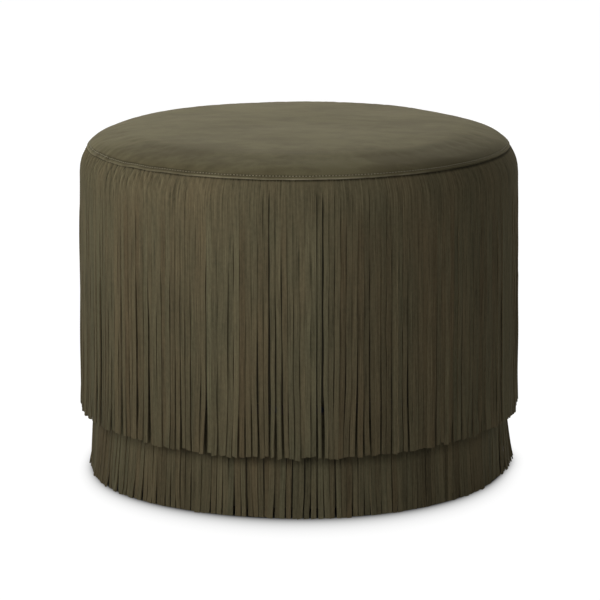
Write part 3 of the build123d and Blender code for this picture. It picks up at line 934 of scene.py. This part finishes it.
def sway(rng, along, size, shortest, longest):
    """A slow wave down each strip, of the given size, with a wave length and a start of its own."""
    pace = 2 * pi / rng.uniform(shortest, longest, size.shape)
    return size * np.sin(pace * along + rng.uniform(0, 2 * pi, size.shape))


def hang_strips(looks, path, rows, band_start, seed, flares=(), fan=0.0, fan_side=0.0):
    """How every strip of a tier hangs and is toned, row by row: shifts, turn, width, hollow and length."""
    rng = np.random.default_rng(seed)
    count = looks.strips * PANELS
    each = (count, 1)
    turns = around(count)
    along = rows[None, :]
    slits = band_start + rng.beta(1.4, 2.2, count) * (looks.slit_high - looks.slit_low) + looks.slit_low
    slits = rows[np.searchsorted(rows, slits)]
    free_from = np.maximum(slits, np.roll(slits, 1))[:, None]
    free = np.clip((along - free_from) / (path.total - free_from), 0, 1)
    loose = eased((along - free_from) / LOOSE_OVER)
    pitch = 2 * pi / count * path.at(rows)[0][None, :]
    splay = np.zeros(each)
    steady = np.ones(each)
    for flare in flares:
        splay = splay + flare.reach * lobe(turns, flare.side, flare.width)[:, None]
        steady = steady - flare.stillness * lobe(turns, flare.side, 2.4 * flare.width)[:, None]

    # Sideways lean and the gaps between strips
    single = rng.normal(0, looks.lean, each)
    single = single + rng.choice([0, 0, 0, 0, 1], each) * rng.normal(0, 1.6 * looks.lean, each)
    together = looks.group_lean * waves(rng, turns, 4, 26)[:, None]
    wander = sway(rng, along, rng.uniform(0.0001, 0.00035, each), 0.07, 0.2)
    parted = 0.7 + 0.7 * lobe(turns, looks.part_side, radians(17))[:, None]
    opening = looks.gap * parted * steady * rng.gamma(4.0, 0.25, each)
    early = rng.random(each) < 0.45 * parted
    opens_over = np.where(early, rng.uniform(0.004, 0.03, each), rng.uniform(0.05, 0.22, each))
    widening = looks.tip_gap * (1 + 0.7 * lobe(turns, WIDE_SIDE, radians(20)))[:, None]
    gap = opening * eased((along - slits[:, None]) / opens_over) * (1 + widening * free**2)
    before = np.roll(gap, 1, axis=0)
    width = pitch - (gap + before) / 2
    bend = looks.tip_lean * (rng.normal(0, 0.8, each) + waves(rng, turns, 8, 40)[:, None])
    bend = bend - fan * lobe(turns, fan_side, radians(12))[:, None]
    leaning = (single + together) * free**1.5 + wander * loose + bend * towards_tip(free, 0.28)
    sideways = steady * leaning + (before - gap) / 4

    # Turn about the strip's own length
    turn = rng.normal(0, looks.twist, each) * steady * free**0.8
    turn = turn + steady * loose * sway(rng, along, rng.normal(0, 0.3 * looks.twist, each), 0.09, 0.25)

    # Outward stand
    stand = rng.normal(0, looks.stand, each) + looks.group_stand * waves(rng, turns, 3, 18)[:, None]
    outward = stand * steady * free**1.1
    outward = outward + steady * loose * sway(rng, along, rng.uniform(0.0001, 0.0004, each), 0.08, 0.2)
    outward = outward + rng.normal(0.0003, 0.0008, each) * towards_tip(free, 0.12)
    outward = outward + splay * rng.uniform(0.92, 1.06, each) * free**1.3
    outward = outward + layered(sideways, width, pitch, turn, looks.thickness) * loose

    # Hollow, tips and colour
    cup = rng.normal(0, looks.cup, each) * loose
    stretch = 1 + rng.normal(0, looks.ragged, each) / path.total
    slant = rng.normal(0, 0.6 * looks.ragged, each)
    tone = rng.normal(0, looks.tone_spread, count) + 0.03 * waves(rng, turns, 4, 14)
    tone = tone[:, None] * loose + 0.06 * looks.tip_gap * free**2
    usual_hue = 0.45
    hue = np.clip(usual_hue + rng.normal(0, 0.22, count) + 0.18 * waves(rng, turns, 5, 20), 0, 1)
    hue = usual_hue + (hue[:, None] - usual_hue) * loose
    return SimpleNamespace(
        looks=looks, path=path, rows=rows, count=count, slits=slits, sideways=sideways, outward=outward,
        turn=turn, width=width, cup=cup, stretch=stretch, slant=slant, tone=tone, hue=hue,
    )


def layered(sideways, width, pitch, turn, thickness):
    """How far each strip stands out so that strips which overlap lie on each other and don't cross."""
    full_overlap = 0.0006
    half = width * np.cos(turn) / 2
    gap = pitch + np.roll(sideways, -1, axis=0) - sideways - half - np.roll(half, -1, axis=0)
    overlap = np.clip(-gap / full_overlap, 0, 1)
    over_next = overlap.max(axis=1) > 0.25
    level = np.zeros(len(sideways))
    for number in range(1, len(level)):
        if over_next[number - 1]:
            level[number] = 1 - level[number - 1]
    touching = np.maximum(overlap, np.roll(overlap, 1, axis=0))
    ahead = np.maximum.accumulate(touching, axis=1)
    return (level[:, None] - 0.4) * eased(ahead) * 1.15 * thickness


# Places across a strip at which it has points, as shares of its width, and their least height over the floor
ACROSS = np.array([-0.5, -0.18, 0.18, 0.5])
FLOOR_CLEARANCE = 0.0005


def panel_faces(front, back, rows, slits_before, slits_after):
    """A panel's quads, and for each of them 0 where it is suede and 1 where it is a cut edge."""
    suede = [
        (front[:, :-1, :-1], front[:, 1:, :-1], front[:, 1:, 1:], front[:, :-1, 1:]),
        (back[:, :-1, :-1], back[:, :-1, 1:], back[:, 1:, 1:], back[:, 1:, :-1]),
    ]
    cut = []
    for side, order, slits in ((0, 1, slits_before), (-1, -1, slits_after)):
        opened = rows[:-1] >= slits[:, None]
        opened[side] = True
        rim = (front[:, :-1, side], back[:, :-1, side], back[:, 1:, side], front[:, 1:, side])
        cut.append([corner[opened] for corner in rim[::order]])
    cut.append((front[:, -1, :-1], back[:, -1, :-1], back[:, -1, 1:], front[:, -1, 1:]))
    cut.append((front[:, 0, :-1], front[:, 0, 1:], back[:, 0, 1:], back[:, 0, :-1]))
    suede, cut = (
        np.concatenate([np.stack(corners, axis=-1).reshape(-1, 4) for corners in group])
        for group in (suede, cut)
    )
    return np.concatenate([suede, cut]), np.repeat([0, 1], [len(suede), len(cut)])


def fringe_panel(tier, number, hung, gather, materials):
    """One panel of a tier: a band that is cut into strips from its slits down, with real thickness."""
    looks, path, rows = hung.looks, hung.path, hung.rows
    chosen = np.arange(number * looks.strips, (number + 1) * looks.strips)
    width, turn, cup, sideways, stand = (
        values[chosen][:, :, None]
        for values in (hung.width, hung.turn, hung.cup, hung.sideways, hung.outward)
    )
    along = rows * np.where(rows > rows[0], hung.stretch[chosen], 1.0)
    along = np.repeat(along[:, :, None], len(ACROSS), axis=2)
    along[:, -1, :] += hung.slant[chosen] * ACROSS * 2
    radius, height, out, up = path.at(np.minimum(along, path.total))
    height = height - np.maximum(along - path.total, 0)
    step = 2 * pi / hung.count
    uncut_turn = (chosen[:, None, None] + 0.5 + ACROSS) * step
    centre = (chosen[:, None, None] + 0.5) * step + sideways / radius
    ripple = gather(uncut_turn, along)
    hollow = cup * (1 - (2 * ACROSS) ** 2)
    sides = []
    for depth in (looks.thickness / 2, -looks.thickness / 2):
        across = width * ACROSS * np.cos(turn) - (depth + hollow) * np.sin(turn)
        outward = width * ACROSS * np.sin(turn) + (depth + hollow) * np.cos(turn)
        outward = outward + stand + ripple
        level = np.maximum(height + up * outward, FLOOR_CLEARANCE)
        sides.append(polar(radius + out * outward, centre + across / radius, level))
    label = np.arange(2 * along.size).reshape(2, *along.shape)
    for strip in range(looks.strips - 1):
        joined = rows <= hung.slits[chosen[strip]]
        label[:, strip + 1, joined, 0] = label[:, strip, joined, -1]
    faces, kinds = panel_faces(*label, rows, hung.slits[chosen - 1], hung.slits[chosen])
    used, place = np.unique(faces, return_inverse=True)
    piece = new_piece(
        f"{tier}_strips_{number + 1}", np.stack(sides).reshape(-1, 3)[used], place.reshape(-1, 4).tolist(),
        materials, [f"{tier}_fringe_{number + 1}"], smooth_angle=50.0, face_materials=kinds,
    )
    store(piece, "strip_tone", np.tile(np.repeat(hung.tone[chosen], len(ACROSS)), 2)[used])
    store(piece, "strip_hue", np.tile(np.repeat(hung.hue[chosen], len(ACROSS)), 2)[used])
    # Height of the gathers, which the suede turns into painted shade and painted highlight
    store(piece, "fold", np.tile(ripple.ravel() / looks.pucker, 2)[used])
    across_hide = uncut_turn * path.values[0][-1]
    lie = np.stack(np.broadcast_arrays(across_hide, along, 0.0), axis=-1).reshape(-1, 3)
    stored = piece.data.attributes.new("lie", "FLOAT_VECTOR", "POINT")
    stored.data.foreach_set("vector", np.tile(lie, (2, 1))[used].astype(np.float32).ravel())
    return piece


def hang_tier(tier, hung, gather, materials):
    """Makes all panels of a tier, each of them a hanging sheet."""
    for number in range(PANELS):
        piece = fringe_panel(tier, number, hung, gather, materials)


def gathers_below(seed, depth, start, reach, side):
    """Small ripples in the uncut band, strongest under the seam and at one side."""
    rng = np.random.default_rng(seed)
    folds = 40
    cycles = rng.integers(110, 300, folds)
    slants = rng.normal(0, 2 * pi / 0.03, folds)
    phases = rng.uniform(0, 2 * pi, folds)

    def height(turn, along):
        below = along - start
        strength = eased(below / 0.004) * np.exp(-np.clip(below, 0, None) / reach)
        strength = strength * (0.25 + 1.6 * lobe(turn, side, GATHER_SPREAD))
        ripple = sum(
            np.cos(pace * turn + slant * below + phase)
            for pace, slant, phase in zip(cycles, slants, phases)
        )
        return depth * ripple / sqrt(folds / 2) * strength

    return height


class OTTOMAN_OT_upper_fringe(Operator):
    """Hangs the long strips of the upper tier from under the seat cover's edge"""

    bl_idname = "ottoman.upper_fringe"
    bl_label = "Upper fringe"

    def execute(self, context):
        settings = context.scene.ottoman
        looks, seat = settings.upper, settings.seat
        outline = Outline(seat)
        tuck = 0.0075
        path = self.path(seat, looks, outline, tuck)
        rows = strip_rows(tuck, tuck + looks.slit_high + 0.002, path.total, fine=0.0024, coarse=0.0095)
        hung = hang_strips(looks, path, rows, tuck, seed=6, fan=0.003, fan_side=radians(203))
        gather = gathers_below(seed=31, depth=looks.pucker, start=tuck, reach=0.03, side=seat.gather_side)
        # Painted shadow in a thin line right under the seat's turned edge
        suede = fringe_suede("fringe_suede", settings.leather, covered=tuck + 0.0006, reach=0.0024, depth=0.6)
        materials = [suede, cut_edge(settings.leather)]
        hang_tier("upper", hung, gather, materials)
        return {"FINISHED"}

    def path(self, seat, looks, outline, tuck):
        """From the edge tucked under the hem, round the shoulder and straight down to the tips."""
        tuck_sink = 0.0008
        tip_inset = 0.0021
        bulge = 0.0004
        bend = outline.shoulder - 2 * seat.skived * seat.leather - LAYER_GAP - looks.thickness / 2
        tip_radius = UPPER_TIP_RADIUS - looks.thickness / 2 - tip_inset
        across = tip_radius - outline.middle
        drop = UPPER_TIPS - outline.height
        leave = atan2(drop, across) + acos(bend / hypot(across, drop))
        lean = np.linspace(outline.seam_angle + tuck / outline.shoulder, leave, 24)
        tucked = bend - tuck_sink * eased((lean - outline.seam_angle) * outline.shoulder / tuck)
        radius = outline.middle + tucked * np.cos(lean)
        height = outline.height + tucked * np.sin(lean)
        fall = np.linspace(0, 1, 60)[1:]
        full = bulge * np.sin(pi * np.clip(fall * 1.6, 0, 1)) ** 2
        radius = np.concatenate([radius, radius[-1] + (tip_radius - radius[-1]) * fall + full])
        height = np.concatenate([height, height[-1] + (UPPER_TIPS - height[-1]) * fall])
        return path_through(radius, height)


class OTTOMAN_OT_lower_fringe(Operator):
    """Hangs the short flaring strips of the lower tier from the band on the wall"""

    bl_idname = "ottoman.lower_fringe"
    bl_label = "Lower fringe"

    def execute(self, context):
        settings = context.scene.ottoman
        looks = settings.lower
        band_inset = 0.0014
        tip_inset = 0.004
        top_room = 0.0004
        band_depth = 0.028
        slit_room = 0.012
        band_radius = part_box("fringe_tack_strip")[1].x - band_inset - looks.thickness / 2
        tip_radius = LOWER_TIP_RADIUS - looks.thickness / 2 - tip_inset
        top = LOWER_BAND_TOP - top_room
        drop = LOWER_BAND_TOP - LOWER_TIPS - top_room
        fall = np.linspace(0, 1, 50)
        hang = np.clip((fall * drop - band_depth) / (drop - band_depth), 0, 1)
        path = path_through(band_radius + (tip_radius - band_radius) * hang**1.35, top - fall * drop)
        band_start = band_depth - slit_room
        rows = strip_rows(band_start, band_depth + slit_room, path.total, fine=0.003, coarse=0.0085)
        hung = hang_strips(
            looks, path, rows, band_start, seed=8, flares=FLARES, fan=-0.0015, fan_side=radians(325)
        )
        gather = gathers_below(seed=37, depth=0.0, start=band_depth, reach=0.01, side=0.0)
        # Painted shadow on the lower strips where the upper tier hangs over them
        covered = LOWER_BAND_TOP - UPPER_TIPS
        suede = fringe_suede("lower_fringe_suede", settings.leather, covered, reach=0.018, depth=0.34)
        materials = [suede, cut_edge(settings.leather)]
        hang_tier("lower", hung, gather, materials)
        return {"FINISHED"}


# Padding, lining and dust cover

PAD_COLUMNS = 128


def soft_rings(profile, columns, seed, depth):
    """Rings of points round a closed profile of radius and height, made a little uneven."""
    rng = np.random.default_rng(seed)
    turns = around(columns)
    profile = np.array(profile)
    uneven = np.stack([waves(rng, turns, 2, 14) for _ in profile])
    uneven = (uneven + np.roll(uneven, 1, axis=0) + np.roll(uneven, -1, axis=0)) / 3
    inward = -np.abs(uneven) * depth
    return polar(profile[:, :1] + inward * np.sign(profile[:, :1]), turns, profile[:, 1:])


class OTTOMAN_OT_padding(Operator):
    """Makes the batting, the crowned seat foam and the foam wrap round the wall"""

    bl_idname = "ottoman.padding"
    bl_label = "Padding"

    def execute(self, context):
        settings = context.scene.ottoman
        seat, colours = settings.seat, settings.frame
        outline = Outline(seat)
        batting = spongy("batting", colours.batting, 900.0)
        foam = spongy("foam", colours.foam, 700.0)
        top = seat.leather + 1.3 * seat.slump + 0.002
        side = seat.layers_over_lining + 0.0014
        under = top + seat.batting
        crown = np.linspace(HUB_RADIUS, outline.crown_length, 16)
        covered = np.linspace(outline.crown_length, outline.seam_length, 8)[1:]
        bare = np.linspace(outline.seam_length, outline.full_length, 8)[1:]
        along = np.concatenate([crown, covered, bare])
        inset = np.where(along < outline.seam_length - 0.016, top, side)
        self.batting(outline, along, inset, side, under, batting)
        self.seat_foam(outline, along, under + 0.0008, foam)
        self.wall_foam(outline.radius - side - LAYER_GAP, foam)
        return {"FINISHED"}

    def batting(self, outline, along, inset, side, under, material):
        """The thin layer over the seat foam, down to the deck."""
        base = DECK_TOP + 0.0006
        profile = [outline.at(*place)[:2] for place in zip(along, inset)]
        profile += [(outline.radius - side, base), (outline.radius - under, base)]
        profile += [outline.at(reach, under)[:2] for reach in along[::-1]]
        rings = soft_rings(profile, PAD_COLUMNS, seed=41, depth=0.0005)
        pad = turned("seat_batting_pad", rings, [material], ["seat_batting"], poles=True)

    def seat_foam(self, outline, along, inset, material):
        """The crowned pad on the deck."""
        base = DECK_TOP + 0.0004
        edge = outline.radius - inset
        profile = [outline.at(reach, inset)[:2] for reach in along]
        profile += [(edge, DECK_TOP + 0.012), (edge - 0.001, base)]
        profile += [(radius, base) for radius in np.linspace(edge - 0.02, HUB_RADIUS, 10)]
        rings = soft_rings(profile, PAD_COLUMNS, seed=43, depth=0.0004)
        pad = turned("seat_foam_pad", rings, [material], ["seat_foam"], poles=True)

    def wall_foam(self, outside, material):
        """The foam round the wall board, smooth where it lies against it."""
        inside = WALL_RADIUS + 0.0004
        heights = np.linspace(PAD_BOTTOM + 0.0004, DECK_TOP - 0.0004, 14)
        profile = [(outside, height) for height in heights] + [(inside, height) for height in heights[::-1]]
        rings = soft_rings(profile, PAD_COLUMNS, seed=47, depth=0.0005)
        rings[len(heights):] = polar(inside, around(PAD_COLUMNS), heights[::-1, None])
        pad = turned("side_foam_wrap", rings, [material], ["side_foam"])


class OTTOMAN_OT_linings(Operator):
    """Makes the lining sleeve and the dust cover under the base"""

    bl_idname = "ottoman.linings"
    bl_label = "Lining and dust cover"

    def execute(self, context):
        settings = context.scene.ottoman
        self.sleeve(settings)
        self.dust_cover(settings)
        return {"FINISHED"}

    def sleeve(self, settings):
        """The lining from the seam over the foam, down the wall and in under the base."""
        seat = settings.seat
        outline = Outline(seat)
        cloth = 0.0007
        inset = seat.layers_over_lining + 0.0001
        bend = outline.shoulder - inset
        side = outline.radius - inset
        wall = WALL_RADIUS + LAYER_GAP + cloth
        shelf = PAD_BOTTOM - 0.001
        under = BASE_BOTTOM - cloth - 0.00005
        turn_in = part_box("dust_cover")[1].x - 0.014
        outer = [
            (outline.middle + bend * cos(turn), outline.height + bend * sin(turn))
            for turn in np.linspace(outline.seam_angle + 0.12, 0.0, 10)
        ]
        outer += [(side, height) for height in np.linspace(outline.height, shelf, 16)[1:]]
        outer += [(radius, shelf) for radius in np.linspace(side, wall, 4)[1:]]
        outer += [(wall, height) for height in np.linspace(shelf, under, 10)[1:]]
        outer += [(radius, under) for radius in np.linspace(wall, turn_in, 5)[1:]]
        points = np.array(outer)
        slope = np.gradient(points, axis=0)
        slope /= np.linalg.norm(slope, axis=1, keepdims=True)
        inner = points + cloth * np.stack([slope[:, 1], -slope[:, 0]], axis=1)
        rings = soft_rings(np.concatenate([points, inner[::-1]]), 160, seed=53, depth=0.0)
        weave = woven("lining_weave", settings.frame.lining)
        lining = turned("side_lining_sleeve", rings, [weave], ["side_lining"])

    def dust_cover(self, settings):
        """The thin cloth under the base, drawn tight between its tacks and sagging a little."""
        rng = np.random.default_rng(59)
        low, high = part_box("dust_cover")
        cloth = 0.85 * (high.z - low.z)
        tacks = 24
        radius = np.linspace(HUB_RADIUS, high.x, 26)[:, None]
        turns = around(192)
        out = radius / high.x
        sag = 0.0011 * (1 - out**2) * (1 + 0.25 * waves(rng, turns, 2, 6))
        pulls = 0.00035 * np.cos(tacks * turns) * eased((out - 0.8) / 0.2)
        scallop = 0.0012 * (1 - np.cos(tacks * turns)) * eased((out - 0.9) / 0.1)
        below = low.z - sag - np.abs(pulls)
        reach = radius - scallop
        rings = np.concatenate([polar(reach, turns, below + cloth), polar(reach, turns, below)[::-1]])
        weave = woven("dust_weave", settings.frame.dust, 0.0012)
        dust = turned("dust_cloth", rings, [weave], ["dust_cover"], poles=True)


class OTTOMAN_OT_frame_finishes(Operator):
    """Gives the frame, the fasteners and the glides their finishes"""

    bl_idname = "ottoman.frame_finishes"
    bl_label = "Frame finishes"

    def execute(self, context):
        colours = context.scene.ottoman.frame
        birch = (0.25, 1.6, 1.6)
        plywood = timber("birch_plywood", colours.plywood, colours.plywood_deep, birch, layers=0.0026)
        pine = timber("pine", colours.pine, colours.pine_deep, (2.0, 2.0, 0.12))
        zinc = metal("zinc_steel", colours.zinc, 0.35)
        blued = metal("blued_steel", colours.blued, 0.4)
        finishes = {
            "seat_deck": plywood,
            "base_panel": plywood,
            "wall_board": pressed("hardboard", colours.hardboard),
            "fringe_tack_strip": pressed("tack_card", colours.card),
            "deck_screws": zinc,
            "base_screws": zinc,
            "wall_nails": zinc,
            "glide_screws": zinc,
            "fringe_tacks": blued,
            "dust_cover_tacks": blued,
        }
        finishes.update({name: pine for name in frame["nodes"] if name.startswith("post_")})
        nylon = moulded("nylon", colours.nylon)
        glides = [name for name in frame["nodes"] if name.startswith("glide_") and name != "glide_screws"]
        finishes.update({name: nylon for name in glides})
        for name, material in finishes.items():
            if name not in frame["nodes"]:
                raise RuntimeError(f"The frame has no {name} to finish")
            node = frame["nodes"][name]
            node.data.materials.clear()
            node.data.materials.append(material)
        return {"FINISHED"}


# Stage

def seen_rays(tree):
    """1 for what the camera sees, straight or in metal and glass, and 0 for other light."""
    rays = tree.nodes.new("ShaderNodeLightPath")
    seen = rays.outputs["Is Camera Ray"]
    for kind in ("Is Glossy Ray", "Is Transmission Ray"):
        either = tree.nodes.new("ShaderNodeMath")
        either.operation = "MAXIMUM"
        tree.links.new(seen, either.inputs[0])
        tree.links.new(rays.outputs[kind], either.inputs[1])
        seen = either.outputs[0]
    return seen


def pale_floor(stage):
    """Floor that the camera sees as white, but for a painted soft shadow in its glow that hugs the foot of
    the lower tier.
    """
    shading = Shading("pale_floor")
    sums = shading.sums
    fading = 0.37
    seen = seen_rays(shading.tree)
    tint = shading.mixed(seen, stage.floor, scaled(stage.floor, stage.shadow_depth))
    place = shading.node("ShaderNodeSeparateXYZ")
    shading.join(shading.place, place.inputs["Vector"])
    away = shading.node("ShaderNodeVectorMath", operation="LENGTH")
    shading.join(shading.place, away.inputs[0])
    ahead = sums("DIVIDE", place.outputs["Y"], away.outputs["Value"])
    facing = sums("MULTIPLY", ahead, ahead)
    start = shading.ranged(facing, 0.0, 1.0, LOWER_TIP_RADIUS - 0.007, LOWER_TIP_RADIUS - 0.016)
    turn = sums("ARCTAN2", place.outputs["Y"], place.outputs["X"])
    for flare in FLARES:
        off = sums("DIVIDE", sums("SUBTRACT", turn, flare.side), flare.width)
        near = sums("POWER", fading, sums("MULTIPLY", off, off))
        start = sums("ADD", start, sums("MULTIPLY", near, 0.8 * flare.reach))
    outside = sums("MAXIMUM", sums("SUBTRACT", away.outputs["Value"], start), 0.0)
    fade_length = shading.ranged(facing, 0.0, 1.0, stage.shadow_side, stage.shadow_front)
    shadow = sums("POWER", fading, sums("DIVIDE", outside, fade_length))
    # Painted shadow: the glow that makes the floor white fades out close to the tier's foot
    white = sums("MULTIPLY", seen, sums("SUBTRACT", 1.0, shadow))
    shading.surface.inputs["Emission Color"].default_value = (1, 1, 1, 1)
    shading.join(white, shading.surface.inputs["Emission Strength"])
    return shading.finish(tint, 0.9, specular=0.0)


def lamp(name, power, size, place, target, spread=180):
    """A soft square light that looks at a point, with its beam spread in degrees."""
    light = bpy.data.lights.new(name, "AREA")
    light.energy = power
    light.size = size
    light.spread = radians(spread)
    piece = bpy.data.objects.new(name, light)
    bpy.context.scene.collection.objects.link(piece)
    piece.visible_camera = False
    piece.location = place
    across, along, rise = (goal - start for goal, start in zip(target, place))
    piece.rotation_euler = (atan2(hypot(across, along), -rise), 0, atan2(-across, along))


class OTTOMAN_OT_stage(Operator):
    """Sets the camera, the pale floor and the soft studio light"""

    bl_idname = "ottoman.stage"
    bl_label = "Stage"

    def execute(self, context):
        stage = context.scene.ottoman.stage
        scene = context.scene
        scene.view_settings.view_transform = "Standard"
        self.camera(scene, stage)
        self.floor(stage)
        self.world(scene, stage)
        middle = (0.0, 0.0, 0.25)
        lamp("key_light", stage.key_power, 0.9, (-1.1, -0.9, 0.9), (0.0, 0.0, 0.7), spread=80)
        lamp("top_light", stage.top_power, 2.0, (0.0, 1.4, 1.8), middle)
        lamp("front_light", stage.front_power, 1.2, (0.0, -2.2, 1.2), middle)
        return {"FINISHED"}

    def camera(self, scene, stage):
        """The camera at the photograph's height and distance."""
        data = bpy.data.cameras.new("camera")
        data.lens = stage.lens
        data.sensor_width = 36.0
        camera = bpy.data.objects.new("camera", data)
        scene.collection.objects.link(camera)
        camera.location = (stage.camera_side, -stage.camera_distance, stage.camera_height)
        camera.rotation_euler = (pi / 2 - stage.camera_dip, 0, 0)
        scene.camera = camera

    def floor(self, stage):
        """A wide pale floor."""
        half = stage.floor_size / 2
        corners = [(-half, -half, 0), (half, -half, 0), (half, half, 0), (-half, half, 0)]
        mesh = bpy.data.meshes.new("floor")
        mesh.from_pydata(corners, [], [(0, 1, 2, 3)])
        mesh.materials.append(pale_floor(stage))
        floor = bpy.data.objects.new("floor", mesh)
        bpy.context.scene.collection.objects.link(floor)

    def world(self, scene, stage):
        """Even light from all round, which the camera sees as white."""
        world = bpy.data.worlds.new("studio")
        scene.world = world
        world.use_nodes = True
        tree = world.node_tree
        background = tree.nodes["Background"]
        background.inputs["Color"].default_value = (1, 1, 1, 1)
        level = tree.nodes.new("ShaderNodeMapRange")
        level.inputs["To Min"].default_value = stage.sky
        level.inputs["To Max"].default_value = 1.0
        tree.links.new(seen_rays(tree), level.inputs["Value"])
        tree.links.new(level.outputs["Result"], background.inputs["Strength"])


class OTTOMAN_PT_panel(Panel):
    """Lists the ottoman's pieces in the sidebar"""

    bl_idname = "OTTOMAN_PT_panel"
    bl_label = "Ottoman"
    bl_space_type = "VIEW_3D"
    bl_region_type = "UI"
    bl_category = "Ottoman"

    def draw(self, context):
        for operator in OPERATORS:
            self.layout.operator(operator.bl_idname)
        for part in OttomanSettings.__annotations__:
            group = getattr(context.scene.ottoman, part)
            box = self.layout.box()
            box.label(text=part.capitalize())
            for name in type(group).__annotations__:
                box.prop(group, name)


OPERATORS = (
    OTTOMAN_OT_padding,
    OTTOMAN_OT_linings,
    OTTOMAN_OT_seat_cover,
    OTTOMAN_OT_upper_fringe,
    OTTOMAN_OT_lower_fringe,
    OTTOMAN_OT_frame_finishes,
    OTTOMAN_OT_stage,
)
GROUPS = (SeatSizes, FringeLooks, LeatherColours, FrameColours, StageSizes, OttomanSettings)
CLASSES = GROUPS + OPERATORS + (OTTOMAN_PT_panel,)


def register():
    """Makes the settings, the operators and the panel known."""
    for item in CLASSES:
        bpy.utils.register_class(item)
    bpy.types.Scene.ottoman = PointerProperty(type=OttomanSettings)


def unregister():
    """Takes them away again."""
    del bpy.types.Scene.ottoman
    for item in reversed(CLASSES):
        bpy.utils.unregister_class(item)


def main():
    """Makes every piece."""
    register()
    for name, value in LOWER_LOOKS.items():
        setattr(bpy.context.scene.ottoman.lower, name, value)
    for operator in OPERATORS:
        group, name = operator.bl_idname.split(".")
        getattr(getattr(bpy.ops, group), name)()


if __name__ == "__main__":
    main()
